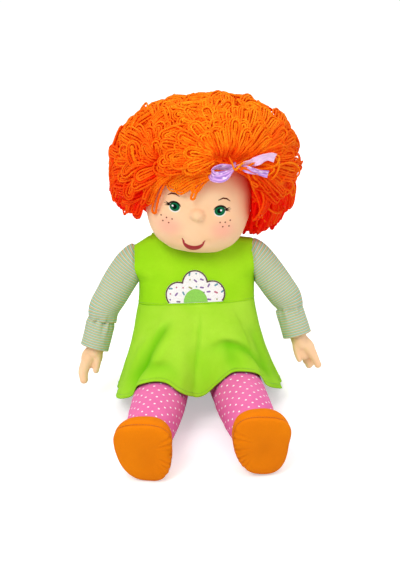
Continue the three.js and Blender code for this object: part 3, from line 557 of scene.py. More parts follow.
def make_yarn():
    head = bpy.context.scene.doll_head
    deep = tuple(head.yarn_painted_shade_colour)
    made = Finish("yarn_orange", Roughness=0.85, Specular_IOR_Level=0.08, Emission_Color=deep)
    depth = made.depth()
    tone = made.noise(made.place(), 95.0, 2.0)
    lit = made.mix(made.edge(tone, 0.35, 0.7), tuple(head.yarn_colour), linear(255, 156, 20))
    # painted shade: the yarn turns to the deep colour by its stored share of shade
    made.colour(made.mix(depth, lit, deep))
    # painted glow: the yarn emits its deep colour, more where its painted shade is deeper
    glow = made.math("MULTIPLY_ADD", depth, head.yarn_painted_glow, head.yarn_painted_glow * 1.5)
    made.put(made.surface.inputs["Emission Strength"], glow)
    # two plies: the height rises and falls along the yarn (u, one twist in 4.2 mm) and round it (v)
    uv = made.uv()
    twist = 0.0042
    length = made.both(made.axis(uv, 0), 2 * math.pi / twist)
    ply = made.math("SINE", made.math("ADD", length, made.both(made.axis(uv, 1), 4 * math.pi)))
    made.normal(made.bump(ply, 0.0005, 0.6))
    return made


def dress_green(name, base):
    return cotton(name, base, tinted(base, 0.82, 0.93, 0.5))


def make_green():
    return dress_green("dress_cotton", tuple(bpy.context.scene.doll_dress.dress_colour))


def make_skirt_green():
    """The skirt's green as a lit copy of the dress's: painted light makes it paler where the skirt faces the light,
    and painted shade makes it deeper green in its hollows; deeper too towards the hem, by its depth share.
    """
    # painted light: the dress green made paler and yellower for the lit skirt
    base = tinted(bpy.context.scene.doll_dress.dress_colour, 1.13, 1.03, 2.9)
    made = dress_green("skirt_cotton", base)
    # painted shade: deeper green by the stored share
    made.colour(made.mix(made.depth(), made.ground(), tinted(base, 0.36, 0.68, 0.0)))
    return made


def make_shoe():
    base = tuple(bpy.context.scene.doll_dress.shoe_colour)
    return cotton("shoe_cotton", base, tinted(base, 0.93, 0.86, 0.8))


def make_lining():
    return cotton("body_cotton", linear(240, 222, 198), linear(228, 206, 178))


def make_dots():
    """White dots in rows, each row shifted by half a pitch against the next; sizes are shares of the pitch."""
    cloth = bpy.context.scene.doll_dress
    pitch, row_pitch, dot_radius, soft = cloth.dot_pitch, 0.62, 0.1, 0.018
    base = tuple(cloth.leg_colour)
    made = cotton("dotted_cotton", base, tinted(base, 0.93, 0.8, 0.9))
    uv = made.uv()
    u = made.math("DIVIDE", made.axis(uv, 0), pitch)
    v = made.math("DIVIDE", made.axis(uv, 1), pitch * row_pitch)
    shift = made.both(made.math("MODULO", made.math("FLOOR", v), 2.0), 0.5)
    across = made.math("SUBTRACT", made.math("FRACT", made.math("ADD", u, shift)), 0.5)
    along = made.both(made.math("SUBTRACT", made.math("FRACT", v), 0.5), row_pitch)
    away = made.vector("LENGTH", made.node("CombineXYZ", across, along, 0.0))
    made.colour(made.mix(made.edge(away, dot_radius + soft, dot_radius - soft), made.ground(), linear(253, 247, 250)))
    return made


def make_stripes():
    """Stripes of five colours round the sleeve, a little uneven."""
    made = cotton("striped_cotton", linear(190, 210, 184), linear(176, 200, 172))
    sway = made.both(made.math("SUBTRACT", made.noise(made.place(), 30.0, 2.0), 0.5), 0.0016)
    along = made.math("ADD", made.axis(made.uv(), 1), sway)
    share = made.math("FRACT", made.math("DIVIDE", along, bpy.context.scene.doll_dress.stripe_pitch))
    lines = made.ramp(share, (
        (0.0, (146, 204, 162)), (0.22, (214, 226, 206)), (0.44, (190, 126, 126)), (0.6, (226, 208, 100)),
        (0.78, (150, 196, 150)), (0.92, (120, 172, 176))))
    made.colour(made.mix(0.82, made.ground(), lines))
    return made


def make_satin():
    base = tuple(bpy.context.scene.doll_head.ribbon_colour)
    made = Finish("ribbon_satin", Roughness=0.3, Sheen_Weight=0.5)
    uv = made.uv()
    # painted light and shade: lengthwise bands of darker and brighter satin for the ribbon's folds
    bands = made.noise(made.scaled(uv, 520.0, 70.0, 1.0), 1.0, 2.0)
    painted_bright_satin = tuple(min(1, c) for c in tinted(base, 1.35, 1.45, 1.2))
    painted_band_light = made.mix(made.edge(bands, 0.36, 0.62), tinted(base, 0.55, 0.46, 0.75), painted_bright_satin)
    # painted highlight: pale spots of shine
    painted_shine = made.noise(made.scaled(uv, 260.0, 110.0, 1.0), 1.0, 1.0)
    shown = made.mix(made.edge(painted_shine, 0.54, 0.68), painted_band_light, linear(244, 220, 248))
    # painted highlight: pale pink where the stored share says, on the upper tail
    made.colour(made.mix(made.depth(), shown, linear(246, 208, 236)))
    made.normal(made.bump(made.noise(made.scaled(uv, 60.0, 6000.0, 1.0), 1.0, 2.0), 0.0001, 0.4))
    return made


def make_thread(name, *shade):
    made = Finish(name, Roughness=0.7, Sheen_Weight=0.2)
    made.colour(made.mix(made.noise(made.place(), 1500.0, 2.0), linear(*shade), linear(*(c * 0.8 for c in shade))))
    return made


def make_felt(name, *shade):
    made = Finish(name, Roughness=0.92, Sheen_Weight=0.2)
    grain = made.noise(made.place(), 700.0)
    made.colour(made.mix(made.edge(grain, 0.3, 0.7), linear(*shade), linear(*(c * 0.93 for c in shade))))
    made.normal(made.bump(grain, 0.0003, 0.4))
    return made


def make_sprinkled():
    """White felt strewn with small rounded rods and dots in several colours, one in each cell of a grid."""
    # the cell in metres, the rest in shares of it; a share rods of the cells has rods, the others have dots
    cell, drift_over, rod_half, rod_radius, soft, rods = 0.0082, 0.34, 0.19, 0.125, 0.02, 0.62
    layout = (40.3, 40.1, 0.0)
    made = make_felt("flower_felt", 247, 246, 243)
    cells = made.vector("ADD", made.scaled(made.uv(), *(1 / cell,) * 3), layout)
    chance = made.node("TexWhiteNoise", made.vector("FLOOR", cells), out="Color")
    hue, turned_by, long = (made.node("SeparateColor", chance, out=k) for k in (0, 1, 2))
    drift = made.scaled(made.vector("SUBTRACT", chance, (0.5, 0.5, 0.5)), drift_over, drift_over, 0.0)
    own = made.vector("SUBTRACT", made.vector("SUBTRACT", made.vector("FRACTION", cells), (0.5, 0.5, 0.0)), drift)
    own = made.scaled(own, 1.0, 1.0, 0.0)
    lie = made.node("VectorRotate", own, (0.0, 0.0, 0.0), (0.0, 0.0, 1.0), made.both(turned_by, 2 * math.pi))
    half = made.both(made.math("LESS_THAN", long, rods), rod_half)
    over = made.math("MAXIMUM", made.math("SUBTRACT", made.math("ABSOLUTE", made.axis(lie, 0)), half), 0.0)
    away = made.vector("LENGTH", made.node("CombineXYZ", over, made.axis(lie, 1), 0.0))
    shades = made.ramp(hue, ((0.0, (126, 90, 150)), (0.26, (180, 88, 114)), (0.46, (88, 142, 160)),
                             (0.66, (152, 154, 84)), (0.82, (118, 102, 124))), "CONSTANT")
    made.colour(made.mix(made.edge(away, rod_radius + soft, rod_radius - soft), made.ground(), shades))
    return made


# Face paint, in millimetres across and up the face: seen from the front, left is the doll's right
EYES = ((-30.2, 60.7, 6.1, 5.4, 1), (25.2, 60.9, 6.6, 5.8, -1))
LASHES = ((3.2, 5.0), (1.0, 6.4), (-1.8, 5.4))
BROWS = (((-39.6, 74.0), (-35.5, 76.6), (-30.5, 76.6), (-26.0, 74.4)),
         ((22.4, 74.4), (27.5, 77.0), (32.2, 76.4), (36.6, 73.4)))
BROW_WIDTHS = (1.1, 2.0, 1.9, 0.9)
FRECKLES = ((-45.7, 47.4), (-38.9, 45.9), (-32.0, 45.4), (-43.0, 41.0), (-35.7, 40.2),
            (26.9, 46.8), (33.3, 47.1), (39.4, 49.4), (30.7, 41.6), (38.5, 42.4))
BLUSH = ((-35.0, 36.0), (31.0, 37.3))
MOUTH = (-3.2, 21.0)
EDGE, STROKE_EDGE, BLUSH_EDGE = 0.35, 0.25, 8.5


def make_face():
    """Vinyl with the face painted on, one mask over another."""
    made = make_vinyl("face_vinyl")
    both = made.both
    uv = made.scaled(made.uv(), 1000.0, 1000.0, 0.0)
    height = made.axis(uv, 1)
    front = made.edge(made.axis(made.scaled(made.place(), *(1000.0,) * 3), 1), 0.0, -15.0)

    def disc(x, z, wide, high, soft=EDGE):
        """1 inside an ellipse, 0 outside."""
        away = made.vector("SUBTRACT", uv, (x, z, 0.0))
        size = made.vector("LENGTH", made.scaled(away, 1 / wide, 1 / high, 0.0))
        return made.edge(size, 1 + soft / min(wide, high), 1 - soft / min(wide, high))

    def outside(a):
        return made.math("SUBTRACT", 1.0, a)

    def stroke(x0, z0, x1, z1, wide0, wide1):
        """1 on a straight stroke that tapers from wide0 to wide1."""
        start, run = (x0, z0, 0.0), (x1 - x0, z1 - z0, 0.0)
        away = made.vector("SUBTRACT", uv, start)
        far = made.math("DIVIDE", made.vector("DOT_PRODUCT", away, run), run[0] ** 2 + run[1] ** 2, clamp=True)
        near = made.node("CombineXYZ", both(far, run[0]), both(far, run[1]), 0.0)
        gap = made.vector("DISTANCE", away, near)
        half = made.math("MULTIPLY_ADD", far, (wide1 - wide0) / 2, wide0 / 2)
        return made.edge(made.math("SUBTRACT", gap, half), STROKE_EDGE, -STROKE_EDGE)

    def joined(masks):
        total = masks[0]
        for mask in masks[1:]:
            total = made.math("MAXIMUM", total, mask)
        return total

    def paint(mask, *shade):
        made.colour(made.mix(both(mask, front), made.ground(), linear(*shade)))

    for x, z in BLUSH:
        paint(both(disc(x, z, 13.0, 10.5, BLUSH_EDGE), 0.36), 252, 140, 146)
    irises, ink = [], []
    for x, z, wide, high, out in EYES:
        iris = disc(x, z, wide, high)
        irises.append(iris)
        paint(disc(x - out * 0.2, z - 1.0, wide + 0.8, high + 0.5), 228, 232, 222)
        paint(iris, 14, 108, 66)
        paint(both(iris, outside(disc(x, z - 0.1, wide - 0.9, high - 0.9))), 4, 56, 34)
        paint(disc(x - 0.4, z - 0.1, 2.9, 3.0), 2, 20, 12)
        paint(disc(x - 2.6 if out > 0 else x + 1.5, z + 0.6, 1.15, 1.15), 252, 254, 252)
        above = both(outside(disc(x - out * 0.3, z - 2.1, wide + 1.5, high + 1.5)),
                     made.edge(height, z + 0.2, z + 1.6))
        ink.append(both(disc(x - out * 0.6, z - 0.4, wide + 2.1, high + 1.9), above))
        corner = x - out * (wide + 0.8)
        for lift, length in LASHES:
            ink.append(stroke(corner, z + 1.4 + lift * 0.25, corner - out * length, z + 1.4 + lift, 1.9, 0.4))
    paint(joined(ink), 34, 16, 16)
    brows = [stroke(*start, *end, wide, wide_on) for points in BROWS
             for start, end, wide, wide_on in zip(points, points[1:], BROW_WIDTHS, BROW_WIDTHS[1:])]
    paint(joined(brows), 92, 30, 16)
    dots = [disc(x, z, 0.95, 0.95, 0.3) for x, z in FRECKLES]
    paint(joined(dots), 112, 52, 40)
    x, z = MOUTH
    smile = both(disc(x, z + 1.2, 13.9, 15.6, 0.4), outside(disc(x - 0.2, z + 6.6, 15.4, 13.8, 0.4)))
    below = made.edge(height, z + 1.6, z - 0.4)
    corners = [stroke(x - 14.2, z + 1.2, x - 12.0, z - 2.4, 1.2, 2.6),
               stroke(x + 14.0, z + 0.8, x + 12.0, z - 1.6, 1.3, 1.7)]
    paint(joined([both(smile, below), joined(corners)]), 170, 34, 50)
    # the paint of eyes, brows and freckles is duller than the vinyl
    dull = both(joined([*ink, *brows, *dots, *irises]), front)
    made.put(made.surface.inputs["Specular IOR Level"], made.math("MULTIPLY_ADD", dull, -0.27, 0.3))
    return made


MAKERS = {
    "vinyl": make_vinyl,
    "face": make_face,
    "yarn": make_yarn,
    "green": make_green,
    "lit_skirt_green": make_skirt_green,
    "shoe": make_shoe,
    "lining": make_lining,
    "dots": make_dots,
    "stripes": make_stripes,
    "satin": make_satin,
    "green_thread": lambda: make_thread("green_thread", 146, 208, 28),
    "shoe_thread": lambda: make_thread("shoe_thread", 214, 112, 4),
    "white": make_sprinkled,
    "outline": lambda: make_thread("outline_thread", 92, 40, 44),
    "leaf": lambda: make_felt("leaf_felt", 142, 210, 84),
    "tape": lambda: make_felt("closure_tape", 240, 240, 236),
    "tie": lambda: make_felt("tie_cord", 236, 236, 232),
}


# Forms that several pieces share
BODY_WIDTH = through([
    (-12, HIP_HALF_WIDTH * 0.6), (14, HIP_HALF_WIDTH * 0.93), (45, HIP_HALF_WIDTH), (WAIST, WAIST_HALF_WIDTH),
    (ARMPIT, WAIST_HALF_WIDTH + 1), (ARM_CENTRE, SHOULDER_HALF * 1.28), (SHOULDER - 4, SHOULDER_HALF * 1.12),
    (SHOULDER, SHOULDER_HALF + 2), (RIDGE - 2, RIDGE_HALF + 10), (RIDGE, RIDGE_HALF),
])
BODY_DEPTH = through([
    (-12, HIP_DEPTH * 0.72), (14, HIP_DEPTH * 0.94), (50, HIP_DEPTH), (WAIST, WAIST_DEPTH),
    (ARM_CENTRE, CHEST_DEPTH), (SHOULDER - 4, CHEST_DEPTH * 0.75), (SHOULDER + 2, RIDGE_DEPTH * 1.25),
    (RIDGE, RIDGE_DEPTH),
])

# How much of its width the body loses under its right arm, by height
SLIM = through([(95, 0), (WAIST, 0.02), (146, 0.05), (157, 0.058), (168, 0.025), (178, 0)])


def lifted(z):
    """0 below the armpits, 1 at the shoulders."""
    return eased((z - LIFT_FROM) / LIFT_OVER)


def worn(points):
    """Draws the body in under its right arm and lifts the shoulders, as it sits in its dress."""
    x, z = points[..., 0], points[..., 2]
    out = points.copy()
    out[..., 0] = x * np.where(x < 0, 1 - SLIM(z), 1)
    near = eased((np.abs(x) - 22) / 24)
    out[..., 2] = z + lifted(z) * near * np.where(x < 0, 10 - 9 * eased((-x - 52) / 28), SHOULDER_LIFT[1])
    return out


def dress_form(z, side):
    """For heights z of the worn dress: the height before, half width, half depth and share of width kept."""
    z = z - SHOULDER_LIFT[side] * lifted(z)
    slim = 1 - (SLIM(z) if side < 0 else 0)
    return z, BODY_WIDTH(z) + GAP + DRESS_CLOTH, BODY_DEPTH(z) + GAP + DRESS_CLOTH, slim


def dress_side(y, z, side):
    """How far out the worn dress's side is at places (y, z)."""
    z, width, depth, slim = dress_form(z, side)
    out = np.minimum(width * flat_oval(y / depth), SHOULDER_HALF + DRESS_CLOTH) * slim
    return np.where(z > RIDGE + 2, 0, out)


def under_seam(ring, side):
    """A ring of the sleeve, kept under the dress up to the seam at the dress's side."""
    x, y, z = ring.T.copy()
    _, width, depth, slim = dress_form(z, side)
    seam = (SHOULDER_HALF + DRESS_CLOTH) * slim
    free = eased((x - seam + 1.6) / 3.4)
    clear = depth * flat_oval(np.minimum(x, seam) / slim / width) - 0.7
    over = np.maximum(np.abs(y) - clear, 0)
    top = np.interp(x, [RIDGE_HALF, 60, 77], [RIDGE, RIDGE - 2, SHOULDER]) + SHOULDER_LIFT[side] + 0.6
    ring[:, 1] = np.sign(y) * (np.abs(y) - over * (1 - free))
    ring[:, 2] = z - np.maximum(z - top, 0) * (1 - free)
    return ring


def body_rings(heights, grow, sides):
    """Rings of the stuffed body, with the flats where the arms are sewn on."""
    rings = []
    for height in heights:
        ring = oval((0, 0, height + (grow if height >= RIDGE else 0)), ACROSS, AHEAD,
                    float(BODY_WIDTH(height)) + grow, float(BODY_DEPTH(height)) + grow, BODY_SQUARE, sides)
        flat = SHOULDER_HALF + min(grow, DRESS_CLOTH)
        ring[:, 0] = np.clip(ring[:, 0], -flat, flat)
        rings.append(worn(ring))
    return np.array(rings)


def dome(radius, shares, sides):
    """Rings of a thigh's round end, each at a share of its radius behind the hip."""
    return [oval((0, radius * s, 0), ACROSS, UP, *[radius * math.sqrt(1 - s * s)] * 2, 2, sides) for s in shares]


def build_body():
    heights = np.concatenate([np.linspace(-12, SHOULDER, 60), np.linspace(SHOULDER + 1, RIDGE, 6)])
    world = moved(body_rings(heights, 0, 96), TORSO)
    world[..., 2] = np.maximum(world[..., 2], 0.0)
    made = cloth_grid("body_cloth", world, Matrix.Identity(4), close=(True, True))
    radius = THIGH + TURN_GAP
    pockets = []
    for side in (1, -1):
        cap = dome(radius, (0.995, 0.95, 0.86, 0.72, 0.55, 0.36, 0.18), 48)
        run = [oval((0, -y, 0), ACROSS, UP, radius, radius, 2, 48) for y in np.linspace(0, 90, 8)]
        pockets.append(cloth_grid(f"pocket_{side}", cap + run, leg_frame(side), close=(True, True)))
    pockets.append(cloth_grid("under_thighs", [
        oval((0, y, -30), ACROSS, UP, 120, HIP_HEIGHT + 30, 40, 8) for y in (-120, radius - HIP_FRONT)
    ], SEATED, close=(True, True)))
    for piece in (*pockets, made):
        outward(piece)
    for pocket in pockets:
        modify(made, "BOOLEAN", object=pocket, operation="DIFFERENCE", solver="EXACT")
    settle(made)
    for pocket in pockets:
        bpy.data.objects.remove(pocket)
    dress(made, "lining", "torso", "lining", "body_cover", "body_filling")


# Geometry Nodes
def node_group(name, sockets, kinds):
    """A group that ends in Realize Instances and Set Material, its nodes by name, and a way to link them.

    Geometry, the sockets (name, kind, default) and a material go in; kinds are the types of the other nodes.
    """
    tree = bpy.data.node_groups.new(name, "GeometryNodeTree")
    face = tree.interface
    face.new_socket("Geometry", in_out="INPUT", socket_type="NodeSocketGeometry")
    for key, kind, value in sockets:
        face.new_socket(key, in_out="INPUT", socket_type="NodeSocket" + kind).default_value = value
    face.new_socket("Material", in_out="INPUT", socket_type="NodeSocketMaterial")
    face.new_socket("Geometry", in_out="OUTPUT", socket_type="NodeSocketGeometry")
    ends = {"inside": "NodeGroupInput", "outside": "NodeGroupOutput", "real": "GeometryNodeRealizeInstances",
            "paint": "GeometryNodeSetMaterial"}
    made = {key: tree.nodes.new(kind) for key, kind in {**ends, **kinds}.items()}

    def link(*pairs):
        for start, out, end, into in pairs:
            tree.links.new(made[start].outputs[out], made[end].inputs[into])

    link(("real", 0, "paint", "Geometry"), ("inside", "Material", "paint", "Material"), ("paint", 0, "outside", 0))
    return tree, made, link


def stitch_tree():
    """Short threads laid end to end along a line."""
    sizes = (("Spacing", "Float", 0.0034), ("Length", "Float", 0.0026), ("Thread", "Float", 0.0005))
    tree, made, link = node_group("Stitch Row", sizes, {
        "curve": "GeometryNodeMeshToCurve", "points": "GeometryNodeCurveToPoints",
        "thread": "GeometryNodeMeshCylinder", "turn": "FunctionNodeAlignRotationToVector",
        "place": "GeometryNodeInstanceOnPoints"})
    made["points"].mode = "LENGTH"
    made["thread"].inputs["Vertices"].default_value = 6
    made["thread"].inputs["Side Segments"].default_value = 2
    made["turn"].axis = "Z"
    link(("inside", "Geometry", "curve", "Mesh"), ("curve", "Curve", "points", "Curve"),
         ("inside", "Spacing", "points", "Length"), ("inside", "Thread", "thread", "Radius"),
         ("inside", "Length", "thread", "Depth"), ("points", "Points", "place", "Points"),
         ("thread", "Mesh", "place", "Instance"), ("points", "Tangent", "turn", "Vector"),
         ("turn", "Rotation", "place", "Rotation"), ("place", 0, "real", 0))
    return tree


def yarn_tree():
    """A round yarn round every line of a wire mesh, with its length and turn as UV."""
    tree, made, link = node_group("Yarn", (("Radius", "Float", 0.0011), ("Sides", "Int", 5)), {
        "curve": "GeometryNodeMeshToCurve", "run": "GeometryNodeCaptureAttribute",
        "length": "GeometryNodeSplineParameter", "ring": "GeometryNodeCurvePrimitiveCircle",
        "turn": "GeometryNodeCaptureAttribute", "share": "GeometryNodeSplineParameter",
        "skin": "GeometryNodeCurveToMesh", "pair": "ShaderNodeCombineXYZ",
        "store": "GeometryNodeStoreNamedAttribute", "smooth": "GeometryNodeSetShadeSmooth"})
    made["run"].capture_items.new("FLOAT", "Run")
    made["turn"].capture_items.new("FLOAT", "Turn")
    made["skin"].inputs["Fill Caps"].default_value = True
    made["store"].data_type, made["store"].domain = "FLOAT2", "CORNER"
    made["store"].inputs["Name"].default_value = "UVMap"
    link(("inside", "Geometry", "curve", "Mesh"), ("curve", 0, "run", 0), ("length", "Length", "run", 1),
         ("inside", "Radius", "ring", "Radius"), ("inside", "Sides", "ring", "Resolution"), ("ring", 0, "turn", 0),
         ("share", "Factor", "turn", 1), ("run", 0, "skin", "Curve"), ("turn", 0, "skin", "Profile Curve"),
         ("run", 1, "pair", 0), ("turn", 1, "pair", 1), ("skin", 0, "store", "Geometry"),
         ("pair", 0, "store", "Value"), ("store", 0, "smooth", 0), ("smooth", 0, "real", 0))
    return tree


TREES = {}


def run_group(piece, maker, paint, **values):
    """Runs a node group on a piece and keeps the result as a plain mesh."""
    if maker not in TREES:
        TREES[maker] = maker()
    tree = TREES[maker]
    made = piece.modifiers.new(tree.name, "NODES")
    made.node_group = tree
    values["Material"] = finish(paint)
    for item in tree.interface.items_tree:
        if item.in_out == "INPUT" and item.name in values:
            made[item.identifier] = values[item.name]
    settle(piece)


def wire(name, runs, matrix, closed=False):
    """A mesh of edges along runs of points in millimetres: an array (runs, points, 3) or a list of arrays."""
    edges, start = [], 0
    for run in runs:
        n = len(run)
        edges += [(start + i, start + i + 1) for i in range(n - 1)]
        if closed:
            edges.append((start + n - 1, start))
        start += n
    mesh = bpy.data.meshes.new(name)
    mesh.from_pydata([tuple(p) for p in moved(np.vstack(list(runs)), matrix) * MM], edges, [])
    return new_object(name, mesh)


def stitch_row(name, line, matrix, paint, body, slot, thread):
    """Topstitching along a closed line, thread being its radius in millimetres."""
    made = wire(name, [line], matrix, closed=True)
    run_group(made, stitch_tree, paint, Spacing=STITCH_STEP * MM, Thread=thread * MM,
              Length=bpy.context.scene.doll_dress.stitch_length)
    dress(made, paint, body, slot)


# Dress
def build_bodice():
    out = GAP + DRESS_CLOTH
    heights = np.concatenate([np.linspace(WAIST, SHOULDER, 50), np.linspace(SHOULDER + 0.8, RIDGE, 7)])
    rings = list(body_rings(heights, out, 160))
    top = rings[-1]
    near = np.clip(top[:, 0], -RIDGE_HALF * 0.9, RIDGE_HALF * 0.9)
    for share in (0.9, 0.75, 0.6, 0.45):
        spine = np.stack([near * share, np.zeros(len(top)), np.full(len(top), top[0, 2])], 1)
        rings.append(spine + (top - spine) * share)
    made = cloth_grid("dress_bodice_cloth", rings, TORSO)
    back = TORSO.inverted()
    neckline = NECK_BALL + 8

    def local(v):
        return back @ (v.co / MM)

    with edited(made.data) as mesh:
        gone = [v for v in mesh.verts
                if math.hypot(local(v).x, local(v).y) < neckline and local(v).z > ARM_CENTRE]
        bmesh.ops.delete(mesh, geom=gone, context="VERTS")
        for v in mesh.verts:
            p = local(v)
            if v.is_boundary and p.z > ARM_CENTRE:
                size = neckline / math.hypot(p.x, p.y)
                v.co = TORSO @ Vector((p.x * size, p.y * size, p.z)) * MM
    displace(made, (0.0006, 0.035, 3.0), (0.0003, 0.012, 5.0))
    thicken(made, DRESS_CLOTH * 0.8)
    dress(made, "green", "torso", "dress_green", "dress_bodice")
    seam = body_rings([WAIST + 2.2], out + 0.1, 200)[0]
    stitch_row("waist_topstitch", seam, TORSO, "green_thread", "torso", "dress_green", GREEN_THREAD)


def hem_line():
    def thigh(side, angle, reach):
        radius = THIGH + HEM_STAND_OFF
        spot = Vector((radius * math.cos(math.radians(angle)), -reach, radius * math.sin(math.radians(angle))))
        return np.array((SEATED.inverted() @ leg_frame(side)) @ spot)

    def half(side):
        reach = HEM_REACH[side]
        over = [thigh(side, angle, reach - max(0, 76 - angle) * 0.2) for angle in (140, 108, 76, 44, 12)]
        return over + [np.array((side * x, y, z)) for x, y, z in (
            (HEM_HALF * 0.97, -reach * 0.4, HEM_FLOOR * 5.5), (HEM_HALF, 0, HEM_FLOOR * 3),
            (HEM_HALF * 0.96, HEM_BACK * 0.45, HEM_FLOOR), (HEM_HALF * 0.66, HEM_BACK * 0.84, HEM_FLOOR))]

    front, back = np.array((0, -HEM_FRONT, HEM_MIDDLE)), np.array((0, HEM_BACK, HEM_FLOOR))
    return Line([front, *half(1), back, *half(-1)[::-1]], closed=True)


# The skirt's front in millimetres and shares of the way down. Folds: across at the waist, across at the hem, width,
# height, first and last share. Swells above the thighs: across, width, share, its width, height, tilt.
SKIRT_FOLDS = (
    (7, -8, 1.8, -3.2, 0.05, 0.8), (-20, -86, 9, -9.5, 0.15, 0.95), (-6, -66, 9, 6.0, 0.2, 0.9),
    (26, 46, 9, -6.0, 0.5, 1.0), (56, 100, 8, -4.0, 0.2, 0.95), (-38, -99, 7, 5.0, 0.25, 0.9),
    (-4, -20, 8, 3.6, 0.5, 1.0), (13, 12, 8, 3.6, 0.3, 1.0))
SKIRT_SWELLS = (
    (54, 36, 0.66, 0.075, -8.5, 0.0036), (-52, 26, 0.8, 0.1, -5, 0.0012), (20, 30, 0.4, 0.12, 4.0, 0.0012))


def skirt_grid(columns, rows):
    """Rows from the waist seam down to the hem, in the doll's frame before it is seated.

    Gives the points, each column's turn round the body and each point's share of the deep green: painted shade in the
    hollows, and more towards the hem.
    """
    hem = hem_line().at(np.arange(columns) / columns)
    to_body = np.array(TORSO.inverted() @ SEATED)
    seam = WAIST + 0.4
    out = GAP + DRESS_CLOTH - 0.2
    middle = np.linalg.inv(to_body)[:3, :3] @ np.array([0, 0, seam])
    turn = np.arctan2(hem[:, 1] - middle[1] * 0.5, hem[:, 0])
    c, s = np.cos(turn), np.sin(turn)
    width, depth = float(BODY_WIDTH(seam)) + out, float(BODY_DEPTH(seam)) + out
    size = (np.abs(c / width) ** BODY_SQUARE + np.abs(s / depth) ** BODY_SQUARE) ** (-1 / BODY_SQUARE)
    high = moved(worn(np.stack([c * size, s * size, np.full(columns, seam)], 1)), np.linalg.inv(to_body))
    t = np.linspace(0, 1, rows)[:, None, None]
    full = 1.5 + 4.5 * np.clip(-s, 0, 1) - (5.5 + 1.5 * np.sign(c)) * np.abs(c) ** 4
    swell = np.sin(np.pi * t) * full[None, :, None]
    down = t[..., 0]
    x = high[None, :, 0] * (1 - down) + hem[None, :, 0] * down
    parts = []
    for top, low, wide, deep, first, last in SKIRT_FOLDS:
        line = top + (low - top) * down
        there = eased((down - first) / 0.25) * (1 - 0.6 * eased((down - last + 0.2) / 0.2))
        parts.append(deep * np.exp(-(((x - line) / wide) ** 2)) * there * (s < 0)[None])
    for across, wide, level, tall, deep, tilt in SKIRT_SWELLS:
        form = np.exp(-(((x - across) / wide) ** 2) - ((down - level - tilt * (x - across)) / tall) ** 2)
        parts.append(deep * form * (s < 0)[None])
    hollows = np.zeros((rows, columns))
    for part in parts:
        swell, hollows = swell + part[..., None], hollows + np.maximum(-part, 0)
    low = np.clip(1 - (hem[:, 2] - HEM_FLOOR) / HIP_HEIGHT, 0, 1)
    wave = np.sin(turn * 9 + 1.2 * np.sin(turn * 2)) + 0.5 * np.sin(turn * 17 + 1)
    fold = 2.0 * (t ** 1.3) * (wave * low)[None, :, None]
    round_out = np.stack([c, s, np.zeros(columns)], 1)[None]
    # painted shade: the deep green grows with the hollows' depth, and towards the hem
    deep = np.clip(0.075 * hollows + 0.2 * eased((down - 0.25) / 0.6), 0, 1)
    return high[None] * (1 - t) + hem[None] * t + (swell + fold) * round_out, turn, deep


def build_skirt():
    grid, turn, deep = skirt_grid(240, 44)
    made = cloth_grid("dress_skirt_cloth", grid, SEATED, flip=True)
    displace(made, (0.0009, 0.045, 9.0), (0.0003, 0.014, 2.0))
    thicken(made, DRESS_CLOTH * 0.7)
    spots = moved(grid, SEATED).reshape(-1, 3)
    tree = KDTree(len(spots))
    for i, spot in enumerate(spots):
        tree.insert(spot * MM, i)
    tree.balance()
    # the skirt's share of painted shade, from its nearest grid point
    set_painted_light(made.data, [deep.ravel()[tree.find(v.co)[1]] for v in made.data.vertices])
    dress(made, "lit_skirt_green", "torso", "dress_green", "dress_skirt")
    hem = grid[-3] + 0.2 * unit(np.stack([np.cos(turn), np.sin(turn), 0 * turn], 1))
    stitch_row("hem_topstitch", hem, SEATED, "green_thread", "torso", "dress_green", GREEN_THREAD)


def on_front(points, grow):
    """Points (x, z) of the flower's plane laid on the front of the body grown by grow."""
    height = points[..., 1] + FLOWER_BASE
    y = -(BODY_DEPTH(height) + grow) * flat_oval(points[..., 0] / (BODY_WIDTH(height) + grow))
    return np.stack([points[..., 0], y, height], -1)


def patch(name, outline, centre, grow, wall, rings):
    """A piece of felt with that outline, laid on the front of the dress."""
    flat = np.array([centre + (outline - centre) * s for s in np.linspace(0.04, 1, rings)])
    made = cloth_grid(name, on_front(flat, grow + wall), TORSO, close=(True, False), flip=True)
    lay_flat(made, TORSO, FLOWER_BASE)
    thicken(made, wall)
    return made


def petal_outline(shrink=0.0, steps=26):
    radius, step = PETAL_RADIUS - shrink, math.radians(PETAL_STEP + 9)
    notch = math.pi / 2 + step / 2 - math.acos(PETAL_REACH / radius * math.sin(step / 2))
    line = []
    for k in (-1, 0, 1):
        angle = math.pi / 2 + k * step
        middle = np.array([math.cos(angle), math.sin(angle)]) * PETAL_REACH
        base = math.asin(min(1, (middle[1] - shrink) / radius))
        first = -base if k < 0 else angle - notch
        last = math.pi + base if k > 0 else angle + notch
        turn = np.linspace(first, last, steps)[: None if k > 0 else -1]
        line += list(middle + radius * np.stack([np.cos(turn), np.sin(turn)], 1))
    return np.array(line)


